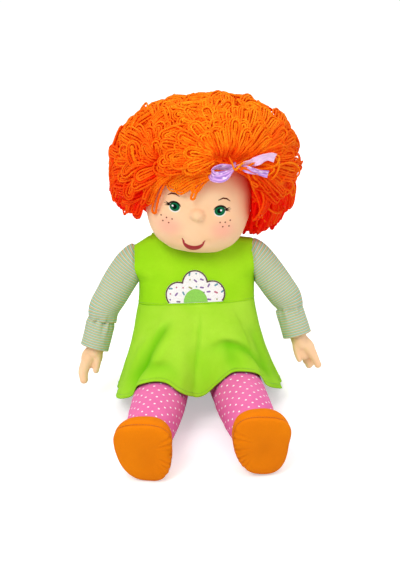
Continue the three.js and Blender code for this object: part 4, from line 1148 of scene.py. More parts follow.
def build_flower():
    grow = 2 * GAP + DRESS_CLOTH - 0.3
    outline = petal_outline()
    base = np.stack([np.linspace(outline[-1, 0], outline[0, 0], 40)[1:-1], np.zeros(38)], 1)
    petals = patch("flower_petals_felt", np.vstack([outline, base]), np.array([0, 14.0]), grow, 1.0, 24)
    dress(petals, "white", "torso", "applique_white", "flower_petals")
    cord = wire("petal_outline_stitch", [on_front(petal_outline(0.9, 40), grow + 1.35)], TORSO)
    run_group(cord, yarn_tree, "outline", Radius=0.85 * MM, Sides=6)
    dress(cord, "outline", "torso", None)
    turn = np.linspace(0, math.pi, 40)
    disc = FLOWER_CENTRE * np.stack([np.cos(turn), 1.1 * np.sin(turn)], 1) + (0, 0.4)
    foot = np.linspace(-FLOWER_CENTRE * 0.97, FLOWER_CENTRE * 0.97, 20)[1:-1]
    disc = np.vstack([disc, np.stack([foot, np.full(18, 0.4)], 1)])
    leaf = patch("flower_centre_felt", disc, np.array([0, 6.0]), grow + 0.25, 1.0, 10)
    dress(leaf, "leaf", "torso", "applique_leaf", "flower_centre")


# Arms
def arm_line():
    return Line([
        (SHOULDER_HALF - 16, 0, ARM_CENTRE + 12.5), (SHOULDER_HALF + 3, -2, ARM_CENTRE + 2.5),
        (SHOULDER_HALF + 18, -4, ARM_CENTRE - 15),
        ((SHOULDER_HALF + GATHER_OUT) / 2 + 8.5, -6, (ARM_CENTRE + GATHER_HEIGHT) / 2 + 0.3),
        (GATHER_OUT - 2.7, -6, GATHER_HEIGHT + 16.5), (GATHER_OUT + 0.8, -5, GATHER_HEIGHT + 1),
    ])


SLEEVE_RADIUS = through([(0, ARMHOLE - 8), (0.13, ARMHOLE - 0.8), (0.35, ARMHOLE - 1.7), (0.6, ARM_RADIUS - 0.2),
                         (0.85, GATHER_RADIUS + 3.6), (1, GATHER_RADIUS + 2.3)])
# Millimetres added to each sleeve's radius towards its end, by share of its length
SLEEVE_END = {1: through([(0, 0), (0.76, 0), (0.9, -1.6), (1, -3.2)]), -1: through([(0, 0), (1, 0)])}
# Each cuff: where it starts, slack, how much shorter it is, and how its middle and its outer side move at the hem
CUFF_HANG = {1: (9.5, -1.0, 6.5, -2.4, -1.5), -1: (2.5, 0, 0, -0.4, 0.0)}
ARM_SIDES = 120
ROUND = 2 * np.pi * np.arange(ARM_SIDES) / ARM_SIDES


def pleats(angle, run, count, seed):
    """Small gathers round a ring: uneven waves that differ from arm to arm."""
    rng = np.random.default_rng(seed)
    phase = rng.uniform(0, 2 * np.pi, 4)
    wave = sum(np.sin(angle * (count + k * 3) + phase[i] + 0.6 * np.sin(angle * 2 + phase[i])) / (1 + 0.4 * i)
               for i, k in enumerate((-1, 0, 1, 2)))
    return wave * run / 2.2


def build_sleeve(name):
    side = SIDES[name]
    line = arm_line()
    rings, runs = [], []
    for t in np.linspace(0.03, 1, 90):
        ahead = line.along(t)
        across = unit(np.cross(AHEAD, ahead))
        near = max(0, (t - 0.84) / 0.16)
        squeeze = -1.6 * near ** 4
        ruffle = pleats(ROUND, 2.3 * near ** 2, 9, 7 + side) + 0.25 * pleats(ROUND, 0.5, 6, 3 + side)
        size = float(SLEEVE_RADIUS(t)) + float(SLEEVE_END[side](t)) + squeeze + ruffle
        deep = 1.03 + 0.07 * (1 - eased((t - 0.1) / 0.2))
        ring = line.at(t) + size[:, None] * (np.cos(ROUND)[:, None] * across + deep * np.sin(ROUND)[:, None] * AHEAD)
        out = np.maximum(ring[:, 0], dress_side(ring[:, 1], ring[:, 2], side) - 0.8)
        runs.append(t * line.length + (out - ring[:, 0]) * ahead[0])
        ring[:, 0] = out
        rings.append(under_seam(ring, side))
    made = cloth_grid(f"sleeve_cloth_{name}", rings, arm_frame(side), flip=True)
    lay_along(made, np.array(runs).ravel() * MM)
    displace(made, (0.0007, 0.03, 4.0 + side), (0.0003, 0.011, 6.0))
    with edited(made.data) as mesh:
        bmesh.ops.remove_doubles(mesh, verts=mesh.verts, dist=5e-5)
        bmesh.ops.holes_fill(mesh, edges=[e for e in mesh.edges if e.is_boundary], sides=0)
    dress(made, "stripes", f"arm_{name}", "sleeve_stripes", f"arm_sleeve_{name}", f"arm_filling_{name}",
          f"wrist_tie_{name}")


def build_cuff(name):
    """The cuff: gathered at its top, flared and open at its hem."""
    side = SIDES[name]
    head, slack, lift, shift, drop = CUFF_HANG[side]
    radius = through([(0, GATHER_RADIUS - 0.6), (0.08, GATHER_RADIUS + 0.6 + slack / 2),
                      (0.24, CUFF_RADIUS + 0.6 + slack), (1, CUFF_RADIUS + 1.0 + slack / 2)])
    rings = []
    for share in np.linspace(0, 1, 44):
        z = head + (CUFF_END + lift - head) * share
        size = float(radius(share)) + pleats(ROUND, 3.0 * (1 - share) ** 3, 9, 7 + side)
        size = size + pleats(ROUND, 0.45 * share, 3, 11 + side)
        x = 1.3 + shift * share + size * np.cos(ROUND)
        rings.append(np.stack([x, size * np.sin(ROUND), z + drop * share * np.cos(ROUND)], 1))
    made = cloth_grid(f"cuff_cloth_{name}", rings, wrist_frame(side), flip=True)
    thicken(made, CLOTH)
    dress(made, "stripes", f"arm_{name}", "sleeve_stripes", f"sleeve_cuff_{name}")


# Hands: thumb, index and the three other fingers, as (across, back, below the knuckles) and shares of a finger's
# radius. The doll's left hand shows the fingers curled behind its index, the right one hides them.
HAND_FORMS = {
    -1: (([(-5, -2, -16), (-7.6, -4, -6), (-8.6, -5, 3)], (1.15, 0.92, 0.76)),
         ([(4, -2, -11), (6.5, -3, 1.5), (6.4, -4.5, 10), (3.2, -6.5, 18.5)], (1.6, 1.4, 1.24, 1.02)),
         ([(5, 4, -9), (7, 7, 0), (6, 9, 7)], (1.25, 1.0, 0.82)),
         ([(0, 4, -10), (2, 8, -3), (1.5, 9.5, 0)], (1.2, 0.95, 0.8)),
         ([(-4, 3, -12), (-4, 7, -6), (-4, 8, -4)], (1.0, 0.8, 0.7))),
    1: (([(-6.5, -3, -18), (-9.4, -5, -8), (-9.6, -6.5, -1)], (1.1, 0.82, 0.68)),
        ([(6.5, -3, -11), (9.3, -4.5, 1.5), (10.6, -5.5, 14)], (1.4, 1.04, 0.84)),
        ([(5, 6, -9), (5.2, 10.5, 2), (3.6, 11.5, 12)], (1.2, 0.96, 0.84)),
        ([(1, 6, -9), (0.8, 10.5, 2), (0, 11, 13.5)], (1.15, 0.95, 0.84)),
        ([(-2, 5, -11), (-1.6, 9.5, -2), (-2.2, 10.5, 7)], (0.95, 0.8, 0.72))),
}


def build_hand(name):
    """A chain of beads along the wrist, the palm and each finger, melted into one skin."""
    side = SIDES[name]
    knuckles = CUFF_END - PALM_LENGTH
    beads = []

    def chain(points, radii, steps=10):
        line = Line(points)
        size = through(list(zip(np.linspace(0, 1, len(radii)), radii)))
        beads.extend((line.at(t), float(size(t))) for t in np.linspace(0, 1, steps))

    chain([(0, 0, 6), (-0.6, 0, CUFF_END + 8), (-1, 0, CUFF_END - 6)], [WRIST - 0.8, WRIST - 0.2, WRIST + 0.2], 16)
    for shift in (-5.4, -1.8, 1.8, 5.4):
        chain([(shift * 0.8, 0, CUFF_END - 3), (1.2 + shift * 1.25, 0, knuckles + 11),
               (1.8 + shift, 0.6, knuckles + 3)], [6.6, 7.2, 6.0])
    for points, radii in HAND_FORMS[side]:
        chain([(x, y, knuckles - down) for x, y, down in points], [FINGER_RADIUS * r for r in radii], 12)
    data = bpy.data.meshes.new(f"hand_vinyl_{name}")
    with edited(data) as mesh:
        for centre, radius in beads:
            bmesh.ops.create_icosphere(mesh, subdivisions=3, radius=radius, matrix=Matrix.Translation(centre))
    data.transform(Matrix.Scale(MM, 4) @ wrist_frame(side))
    made = new_object(f"hand_vinyl_{name}", data)
    if side < 0:
        data.flip_normals()
    modify(made, "REMESH", mode="VOXEL", voxel_size=0.0009)
    modify(made, "SMOOTH", factor=0.5, iterations=9)
    settle(made)
    smoothed(made.data)
    dress(made, "vinyl", f"palm_{name}", "skin", f"hand_{name}")


# Legs and shoes
LEG_CENTRE = through([(0, 0), (LEG_LENGTH * 0.5, -0.5), (LEG_LENGTH, 1.5)])
LEG_RADIUS = through([(0, THIGH), (LEG_LENGTH * 0.45, THIGH), (LEG_LENGTH * 0.8, (THIGH + ANKLE) / 2),
                      (LEG_LENGTH, ANKLE)])
HEEL = -HIP_HEIGHT
ANKLE_MIDDLE = float(LEG_CENTRE(LEG_LENGTH))
SHOE_START, SOLE_START = LEG_LENGTH + GAP, LEG_LENGTH + SHOE_LENGTH - SOLE_WALL
SHOE_TOP = through([(0, ANKLE_MIDDLE + ANKLE + 1), (0.4, HEEL + SHOE_HEIGHT - 4), (1, HEEL + SHOE_HEIGHT)])
SHOE_BOTTOM = through([(0, ANKLE_MIDDLE - ANKLE - 1), (0.35, HEEL + 1.5), (0.7, HEEL), (1, HEEL)])
SHOE_HALF = through([(0, ANKLE + 1), (0.5, SOLE_HALF - 2), (1, SOLE_HALF)])

# The booties as they sit: how far their lower part leans out, how high the instep swells, and how the left one is
# turned (radians) about a point above its middle and raised
SHOE_LEAN, INSTEP = 5.5, {1: 5.5, -1: 3.5}
LEFT_SHOE_TURN, LEFT_SHOE_PIVOT, LEFT_SHOE_RISE = 0.15, 3, 6


def shoe_ring(place, grow, sides, lean=0, swell=0.0):
    """A ring of the shoe; lean is the side to which its lower part leans, swell lifts the instep."""
    share = (place - SHOE_START) / (SOLE_START - SHOE_START)
    top, bottom = float(SHOE_TOP(share)) + grow + swell, float(SHOE_BOTTOM(share)) - grow
    middle = bottom + (top - bottom) * 0.56
    half = float(SHOE_HALF(share)) + grow
    ring = oval((0, -place, middle), ACROSS, UP, half, top - middle, 2.3 + 0.5 * share, sides, middle - bottom)
    ring[:, 0] *= 1 + TOE_FLARE * share * (ring[:, 2] - middle) / half
    low = np.clip((middle - ring[:, 2]) / (middle - bottom), 0, 1)
    ring[:, 0] += lean * share * SHOE_LEAN * low
    amount = share if lean > 0 else 0
    turn = LEFT_SHOE_TURN * amount
    across, high = ring[:, 0].copy(), ring[:, 2] - middle - LEFT_SHOE_PIVOT * amount
    ring[:, 0] = math.cos(turn) * across + math.sin(turn) * high
    ring[:, 2] = middle + LEFT_SHOE_RISE * amount - math.sin(turn) * across + math.cos(turn) * high
    ring[:, 2] = np.maximum(ring[:, 2], HEEL + 0.2)
    return ring


def build_leg(name):
    side = SIDES[name]
    sides = 96
    rings = dome(THIGH, (0.998, 0.98, 0.93, 0.85, 0.74, 0.6, 0.44, 0.27, 0.12), sides)
    for place in np.linspace(0, LEG_LENGTH + 3, 70):
        size = float(LEG_RADIUS(place))
        rings.append(oval((0, -place, float(LEG_CENTRE(place))), ACROSS, UP, size, size, 2, sides))
    made = cloth_grid(f"leg_cloth_{name}", rings, leg_frame(side), close=(True, True))
    displace(made, (0.0006, 0.03, 12.0 + side), (0.00035, 0.012, 8.0))
    dress(made, "dots", f"limb_{name}", "leg_dots", f"leg_{name}", f"leg_filling_{name}")


# Folds at the sole's edge: (degrees round it, width, reach inwards, depth)
CREASES = ((34, 3.4, 0.4, 0.8), (22, 3.0, 0.6, 1.3), (9, 3.2, 0.45, 1.2), (-3, 2.6, 0.62, 1.5),
           (-14, 3.0, 0.4, 1.2), (-25, 3.0, 0.58, 1.4), (-38, 3.4, 0.42, 1.1), (-50, 3.6, 0.5, 0.9))


def creases(p, middle):
    """Folds that run in from the sole's inner edge, at points of the leg's frame."""
    angle = np.degrees(np.arctan2(p[:, 2] - middle[2], -(p[:, 0] - middle[0])))
    away = np.hypot((p[:, 0] - middle[0]) / SOLE_HALF, (p[:, 2] - middle[2]) / (SHOE_HEIGHT / 2))
    out = np.zeros(len(p))
    for at, wide, reach, deep in CREASES:
        line = at + 14 * (1 - np.clip(away, 0, 1))
        there = eased((away - (1 - reach)) / (reach * 0.8))
        out -= deep * there * np.exp(-(((angle - line) / wide) ** 2))
        out += 0.6 * deep * there * np.exp(-(((angle - line - 6) / (wide * 1.1)) ** 2))
    return out


def build_shoe(name):
    side = SIDES[name]
    frame_of = leg_frame(side)
    places = np.linspace(SHOE_START + 0.6, SOLE_START, 44)
    rings = [shoe_ring(places[0], -3.5, 160) + (0, 1.5, 0)]
    for i, place in enumerate(places):
        share = i / (len(places) - 1)
        puff = 1.6 * math.sin(math.pi * min(1, share * 1.02)) ** 0.6 - 1.6 * share ** 12
        swell = INSTEP[side] * math.sin(math.pi * min(1, 0.12 + share * 0.86)) ** 0.7 * (1 - share ** 6)
        rings.append(shoe_ring(place, puff - 0.6, 160, side, swell))
    made = cloth_grid(f"shoe_cloth_{name}", rings, frame_of, close=(True, True))
    to_leg = frame_of.inverted()
    edge = shoe_ring(SOLE_START, 0, 160, side)
    middle = edge.mean(0)

    def upper(co):
        p = moved(co / MM, to_leg)
        seam = np.clip((-p[:, 1] - SHOE_START) / (SOLE_START - SHOE_START), 0, 1) ** 3
        return MM * (0.8 * seam * creases(p, middle))

    displace(made, (0.0007, 0.022, 1.0), amount=upper)
    dress(made, "shoe", f"limb_{name}", "shoe_cloth", f"shoe_upper_{name}", f"shoe_filling_{name}")
    rings = []
    for share in np.concatenate([np.linspace(0, 0.3, 14), np.linspace(0.33, 0.98, 40)]):
        ring = middle + (edge - middle) * (math.cos(math.pi / 2 * share) ** 0.5 * 0.99)
        ring[:, 1] = -(SOLE_START + 0.3) - (SOLE_WALL + 2.5) * math.sin(math.pi / 2 * share) ** 0.62
        ring[:, 2] = np.maximum(ring[:, 2], HEEL + 0.2)
        rings.append(ring)
    sole = cloth_grid(f"sole_cloth_{name}", rings, frame_of, close=(True, True))
    displace(sole, (0.0009, 0.028, 2.0), amount=lambda co: MM * creases(moved(co / MM, to_leg), middle))
    dress(sole, "shoe", f"limb_{name}", "shoe_cloth", f"shoe_sole_{name}")
    stitch_row(f"sole_stitches_{name}", shoe_ring(SOLE_START - 1.2, -0.3, 220, side), frame_of, "shoe_thread",
               f"limb_{name}", "shoe_cloth", SHOE_THREAD)


# Head
HEAD_WIDTH = through([(s * CROWN, HEAD_HALF * v) for s, v in (
    (0, 0.22), (0.02, 0.42), (0.05, 0.54), (0.12, 0.745), (0.24, 0.9), (0.42, 1), (0.58, 0.985), (0.74, 0.88),
    (0.87, 0.67), (0.96, 0.37), (1, 0.08))])
HEAD_FRONT = through([(s * CROWN, FACE_DEPTH * v) for s, v in (
    (0, 0.66), (0.03, 0.78), (0.1, 0.9), (0.25, 0.985), (0.4, 1), (0.6, 0.99), (0.75, 0.9), (0.88, 0.7),
    (0.96, 0.46), (1, 0.24))])
HEAD_BACK = through([
    (0, -FACE_DEPTH * 0.52), (0.05 * CROWN, -FACE_DEPTH * 0.45), (NECK_LIFT, -NECK_TUBE - 4),
    (NECK_LIFT + 1, NAPE_DEPTH * 0.36), (NECK_LIFT + 9, NAPE_DEPTH * 0.7), (0.38 * CROWN, NAPE_DEPTH * 0.93),
    (0.55 * CROWN, NAPE_DEPTH), (0.75 * CROWN, NAPE_DEPTH * 0.8), (0.9 * CROWN, NAPE_DEPTH * 0.3),
    (CROWN, -FACE_DEPTH * 0.08)])
HEAD_MIDDLE = through([
    (0, -FACE_DEPTH * 0.585), (NECK_LIFT + 1, -FACE_DEPTH * 0.5), (0.32 * CROWN, -FACE_DEPTH * 0.25),
    (0.5 * CROWN, -FACE_DEPTH * 0.12), (0.8 * CROWN, -FACE_DEPTH * 0.12), (CROWN, -FACE_DEPTH * 0.16)])
HEAD_SQUARE = 2.15


def head_rings(levels, grow, sides):
    rings = []
    for here in levels:
        place = here + grow * (2 * here / CROWN - 1)
        front, back = float(HEAD_FRONT(here)) + grow, float(HEAD_BACK(here)) + grow
        middle = float(HEAD_MIDDLE(here))
        half = float(HEAD_WIDTH(here)) + grow
        rings.append(oval((0, middle, place), ACROSS, AHEAD, half, back - middle, HEAD_SQUARE, sides, front + middle))
    return np.array(rings)


def bump_at(x, z, at_x, at_z, wide, high=None):
    return np.exp(-(((x - at_x) / wide) ** 2 + ((z - at_z) / (high or wide)) ** 2))


def face_relief(points):
    """How far the vinyl stands forward of the plain head, in millimetres, at points of the head's frame."""
    x, y, z = points[:, 0], points[:, 1], points[:, 2]
    front = np.clip((-y - 25) / 25, 0, 1)
    away = np.hypot((x + 2.2) / 8.8, (z - 54.5) / 8.0)
    nose = 8.6 * np.sqrt(np.clip(1 - away**2, 0, 1)) ** 0.85
    cheeks = 2.0 * (bump_at(x, z, 36, 34, 17) + bump_at(x, z, -38, 34, 17))
    sockets = -1.9 * (bump_at(x, z, 26, 62, 15, 11) + bump_at(x, z, -31, 62, 15, 11)) - 0.8 * bump_at(x, z, 0, 72, 12)
    muzzle = 1.8 * bump_at(x, z, -2, 18, 17, 10)
    lips = -1.3 * bump_at(x, z, -18, 21, 4) - 1.3 * bump_at(x, z, 13, 20, 4)
    return front * (nose + cheeks + sockets + muzzle + lips)


def build_head():
    low = np.linspace(0, NECK_LIFT + 2, 22)
    levels = np.concatenate([low, np.linspace(NECK_LIFT + 3, 0.97 * CROWN, 120), np.linspace(0.975, 1, 8) * CROWN])
    grid = head_rings(levels, 0, 240)
    flat = grid.reshape(-1, 3)
    relief = face_relief(flat)
    ahead = unit(np.stack([flat[:, 0] * 0.35, np.full(len(flat), -60.0), (flat[:, 2] - 50) * 0.2], 1))
    made = cloth_grid("head_vinyl", (flat + ahead * relief[:, None]).reshape(grid.shape), HEAD, close=(True, True))
    outward(made)
    modify(made, "SMOOTH", factor=0.5, iterations=3)
    settle(made)
    lay_flat(made, HEAD)
    dress(made, "face", "head", "skin", "head_shell")


# Hair: U-shaped yarns that lie along the hair's outside, drawn from a few places on the wig
HAIR_MIDDLE = (HAIR_TOP + HAIR_BOTTOM) / 2
HAIR_RISE = HAIR_TOP - HAIR_MIDDLE
LEAN = Matrix.Translation((HAIR_SHIFT, 0, HAIR_MIDDLE)) @ turned("Y", -HAIR_LEAN)
HAIR_CENTRE = np.array(LEAN.translation)
TEMPLE, WHORL = np.array([-50.0, -72.0, 106.0]), np.array([4.0, 34.0, 184.0])
HAIR_SQUARE, BEYOND_HAIR, HALVINGS = 2.5, 400.0, 26
# The opening in which the face shows: its upper edge, its half width at the doll's left and right, and the height
# below which yarn goes aside and not up; loops that would move farther than MOVED_LITTLE are left out
WINDOW = through([(-66, 60), (-58, 88), (-48, 99), (0, 110), (40, 113), (56, 106), (64, 84), (70, 50)])
WINDOW_HALF, WINDOW_LOW, MOVED_LITTLE = (75, 68), 92, 9
# Painted shade by height: the yarn's share of deep red at each height of the head's frame
SHADE_BY_HEIGHT = ((40, 0.8), (70, 0.64), (96, 0.42), (125, 0.24), (165, 0.2), (188, 0.0))
# Points on each yarn's way: over the wig, from the knot, lying loose, in placed and in hanging loops
WIG_STEPS, KNOT_STEPS, LOOSE_STEPS, LOOP_STEPS = 10, 14, 29, 12


def way_to(points):
    """Directions in the hair's own leaning frame to points of the head's frame."""
    return unit(moved(np.asarray(points, float), LEAN.inverted()))


def hair_at(way, share):
    """Points of the head's frame along a way, a share of 1 being the hair's outside, found by halving."""
    depth = np.where(way[..., 1] < 0, HAIR_FRONT, HAIR_BACK)
    flat = np.hypot(way[..., 0] / HAIR_HALF, way[..., 1] / depth)
    low, high = np.zeros(way.shape[:-1]), np.full(way.shape[:-1], BEYOND_HAIR)
    for _ in range(HALVINGS):
        here = (low + high) / 2
        inside = (flat * here) ** HAIR_SQUARE + (way[..., 2] * here / HAIR_RISE) ** 2 < 1
        low, high = np.where(inside, here, low), np.where(inside, high, here)
    return moved(way * (low * share)[..., None], LEAN)


def hair_front_at(x, z):
    """The hair's outside in front at places x, z of the head's frame."""
    own = moved(np.stack([x, np.zeros_like(x), z], -1), LEAN.inverted())
    rest = np.clip(1 - (own[..., 2] / HAIR_RISE) ** 2, 0, 1) ** (2 / HAIR_SQUARE) - (own[..., 0] / HAIR_HALF) ** 2
    own[..., 1] = -HAIR_FRONT * np.sqrt(np.clip(rest, 0, 1))
    return moved(own, LEAN)


def arc(a, b, t):
    """Ways from a to b, (n, 3) each, at shares t of (n, m)."""
    angle = np.arccos(np.clip((a * b).sum(-1), -1, 1))[:, None, None]
    t = t[..., None]
    return unit(np.sin((1 - t) * angle) * a[:, None] + np.sin(t * angle) * b[:, None])


def off_face(points):
    """Keeps yarn out of the window in which the face shows, and says which yarns moved little for it."""
    x, y, z = points[..., 0], points[..., 1], points[..., 2]
    edge = WINDOW(x)
    half = np.where(x > 0, *WINDOW_HALF)
    inside = (np.abs(x) < half) & (y < -12) & (z < edge)
    aside = inside & (z < WINDOW_LOW)
    out = points.copy()
    out[..., 0] = np.where(aside, np.sign(x) * (half - 6 + 0.12 * (half - np.abs(x))), x)
    out[..., 2] = np.where(inside & ~aside, edge + 0.1 * (edge - z), z)
    return out, np.abs(out - points).max((1, 2)) < MOVED_LITTLE


NEST, YARN_STEP = 3, 3.5


def nested(path, rng, roll, wave, shade):
    """Loops one inside another along each path, the inner ones higher, with their shares of painted shade."""
    n, out = len(path), []
    up = unit(path - HAIR_CENTRE)
    for k in range(NEST):
        half = 1.5 + YARN_STEP * k + rng.uniform(-0.3, 0.6, n)
        rise = 3.2 * (1 - (k / (NEST - 0.4)) ** 2) + rng.normal(0, 0.5, (n, 1, 1))
        shift = rng.normal(0, 0.6, (n, 1, 3))
        runs, kept = off_face(looped(path + shift + up * rise, half, rng, roll + rng.normal(0, 0.08, n), wave))
        # painted shade: more by the shade given and for the outer loops of a nest, less for the higher inner ones
        tone = painted_shade_share(runs, shade[:, None] + rng.normal(0, 0.1, (n, 1)) + 0.05 * k)
        out.append((runs[kept], tone[kept]))
    return merged(out)


def merged(parts):
    """Yarns and their shares of painted shade from several lots."""
    return [np.concatenate(part) for part in zip(*parts)]


def looped(path, half, rng, roll, wave):
    """Yarns out along one side of each path (n, m, 3), round its end and back along the other side."""
    n, m = path.shape[:2]
    ahead, normal = unit(np.gradient(path, axis=1)), unit(path - HAIR_CENTRE)
    roll = roll[:, None, None]
    side = np.cos(roll) * unit(np.cross(normal, ahead)) + np.sin(roll) * normal
    u = np.linspace(0, 1, m)[None, :, None]
    half = half[:, None, None]
    spread = half * (0.18 + 0.82 * np.sin(np.pi / 2 * u) ** 0.9)
    fade = np.sin(np.pi * u) ** 0.7

    def wobble():
        phase, turns = rng.uniform(0, 2 * np.pi, (n, 1, 1)), rng.uniform(0.8, 2.0, (n, 1, 1))
        return wave * fade * np.sin(2 * np.pi * turns * u + phase)

    turn = np.linspace(0, np.pi, 7)[1:-1][None, :, None]
    bend = path[:, -1:] + half * (np.cos(turn) * side[:, -1:] + 1.1 * np.sin(turn) * ahead[:, -1:])
    left = path + side * (spread + wobble()) + normal * wobble() * 0.8
    right = path - side * (spread + wobble()) + normal * wobble() * 0.8
    return np.concatenate([left, bend, right[:, ::-1]], 1)


def painted_shade_share(runs, base):
    """The share of deep colour, painted shade, at each point: more near the roots, low on the head and at its left
    side.
    """
    near = np.abs(np.linspace(-1, 1, runs.shape[1]))[None] ** 1.5
    low = np.interp(runs[..., 2], *zip(*SHADE_BY_HEIGHT))
    low = low + 0.14 * np.clip((runs[..., 0] - 50) / 30, 0, 1) * (runs[..., 2] < 172)
    return np.clip(base + 0.55 * near + low, 0, 1)


def whole_wig(rng, count, share):
    """Bunches of nested loops evenly over a layer of the hair: share is 1 at its outside."""
    i = np.arange(count) + 0.5
    z = 1 - 2 * i / count
    turn = i * math.pi * (1 + 5**0.5)
    flat = np.sqrt(1 - z * z)
    way = unit(np.stack([flat * np.cos(turn), flat * np.sin(turn), z], 1) + rng.normal(0, 0.035, (count, 3)))
    tips = hair_at(way, share)
    window = (np.abs(tips[:, 0]) < 58) & (tips[:, 1] < -5) & (tips[:, 2] < WINDOW(tips[:, 0]) - 2)
    shown = ~window & (tips[:, 2] > HAIR_BOTTOM + np.where(tips[:, 0] < -30, 13, 4))
    way, tips = way[shown], tips[shown]
    n = len(way)
    behind = tips[:, 1] + rng.normal(0, 7, n) > 24
    left = tips[:, 0] + rng.normal(0, 5, n) < -46
    root = np.where(behind[:, None], way_to(WHORL), np.where(left[:, None], way_to(TEMPLE), way_to(KNOT)))
    root = unit(root + rng.normal(0, 0.05, root.shape))
    angle = np.arccos(np.clip((root * way).sum(1), -1, 1))
    near = np.where(behind | left, 0.16, 0.3)
    keep = angle > near
    way, root, angle = way[keep], root[keep], angle[keep]
    n = len(way)
    length = rng.uniform(50, 76, n)
    start = np.clip(1 - length / (angle * 98), 0, 0.92)
    u = np.linspace(0, 1, WIG_STEPS)[None]
    swing = unit(np.cross(way, root)) * rng.normal(0, 0.16, n)[:, None]
    ways = arc(root, way, start[:, None] + (1 - start[:, None]) * u)
    ways = unit(ways + swing[:, None] * ((1 - u) * u * 4)[..., None])
    lift = rng.normal(0, 0.014, n)[:, None]
    path = hair_at(ways, (share - 0.03 + lift) * (1 - 0.26 * (1 - u) ** 1.5))
    # painted shade deepens for layers farther in
    return nested(path, rng, rng.normal(0, 0.2, n), 1.2, rng.normal(-0.08, 0.06, n) + (1 - share) * 2.2)


def from_knot(rng, n, low, high, share, reach):
    """Bunches drawn from the ribbon's knot over the front, low to high degrees round it from upright."""
    angle = np.radians(np.linspace(low, high, n) + rng.normal(0, 2.0, n))
    far = rng.uniform(*reach, n)
    x, z = KNOT[0] + np.sin(angle) * far * 1.1, KNOT[2] + np.cos(angle) * far * 0.92
    way = way_to(hair_front_at(x, np.minimum(z, HAIR_TOP - 9)))
    spread = 15 * np.sin(angle) - 12 if low < 0 else 5 * np.ones(n)
    root = way_to(KNOT + np.stack([spread + rng.normal(0, 1.6, n), np.zeros(n), 4.0 + rng.normal(0, 1.6, n)], 1))
    u = np.linspace(0, 1, KNOT_STEPS)[None]
    ways = arc(root, way, np.repeat(u, n, 0))
    knot_share = np.linalg.norm(KNOT - HAIR_CENTRE) / np.linalg.norm(hair_at(way_to(KNOT), 1.0) - HAIR_CENTRE)
    inner = knot_share * 0.98
    path = hair_at(unit(ways), inner + (share + rng.normal(0, 0.012, (n, 1)) - inner) * eased(u * 2.4))
    # painted shade deepens for layers farther in
    return nested(path, rng, rng.normal(0, 0.2, n), 0.8, rng.normal(-0.1, 0.05, n) + (1 - share) * 1.8)


def loose_yarns(rng, rows):
    """Single yarns that lie loose over the front, through places (x, z) of the head's frame."""
    runs = []
    for row in rows:
        row = np.asarray(row, float)
        points = hair_front_at(row[:, 0], row[:, 1])
        back = np.maximum(np.interp(row[:, 1], [40, 60, 80, 100, 118], [-20, -30, -42, -56, -90]) - points[:, 1], 0)
        points = points + np.stack([0 * back, back, -0.42 * back], 1)
        stand = 5 + 3 * np.sin(np.linspace(0.3, 2.8, len(row)))
        points = points + unit(points - HAIR_CENTRE) * stand[:, None] + rng.normal(0, 0.3, points.shape)
        runs.append(Line(points).at(np.linspace(0, 1, LOOSE_STEPS)))
    runs = np.array(runs)
    # painted shade: less for yarn lying loose on top
    return runs, painted_shade_share(runs, -0.35)


def placed_loops(rng, loops_at):
    """Single bunches along given points of the head's frame: (points, half widths)."""
    runs = []
    for points, halves in loops_at:
        path = Line(points).at(np.linspace(0, 1, LOOP_STEPS))[None]
        for half in halves:
            shift = rng.normal(0, 0.3, (1, 1, 3))
            runs.append(looped(path + shift, np.array([half]), rng, rng.normal(0, 0.15, 1), 0.4))
    runs = np.concatenate(runs)
    # painted shade: less for the placed loops on top
    return runs, painted_shade_share(runs, -0.42)


def hanging(rng, rows, count, layers):
    """Bunches that hang side by side: each lies between two rows, in layers (back, up) one behind another."""
    rows = np.array([Line(row).at(np.linspace(0, 1, LOOP_STEPS)) for row in rows])
    down = np.linspace(0, 1, LOOP_STEPS)[:, None]
    last = len(rows) - 1.001
    out = []
    for back, up in layers:
        place = np.clip(np.linspace(0, last, count) + rng.normal(0, 0.08, count), 0, last)
        k = place.astype(int)
        share = (place - k)[:, None, None]
        path = rows[k] * (1 - share) + rows[k + 1] * share
        path = path + np.array([0, back, up]) * np.linspace(0.3, 1, LOOP_STEPS)[:, None]
        path = path + rng.normal(0, 1.5, (count, 1, 3)) * down
        # painted shade deepens for layers farther back
        out.append(nested(path, rng, rng.normal(0, 0.25, count), 1.0, rng.normal(-0.1, 0.06, count) + back * 0.008))
    return merged(out)


YARN_SIDES, PIECE_LIMIT = 4, 190000


def spun(name, parts, node, thick=1.0):
    """Yarn pieces of under 200,000 triangles from (runs, shares of painted shade)."""
    runs, depth = parts
    limit = PIECE_LIMIT // ((runs.shape[1] - 1) * 2 * YARN_SIDES + YARN_SIDES)
    order = np.argsort(runs[:, runs.shape[1] // 2, 0], kind="stable")
    for k, part in enumerate(np.array_split(order, math.ceil(len(order) / limit))):
        made = wire(f"{name}_{k + 1}", runs[part], HEAD)
        set_painted_light(made.data, depth[part].ravel())
        radius = bpy.context.scene.doll_head.yarn_radius * thick
        run_group(made, yarn_tree, "yarn", Radius=radius, Sides=YARN_SIDES)
        dress(made, "yarn", "head", "yarn", node)


# Layers of the wig: (share of the way out, share of the bunches)
LAYERS = ((0.99, 1.0), (0.92, 0.8), (0.84, 0.6))
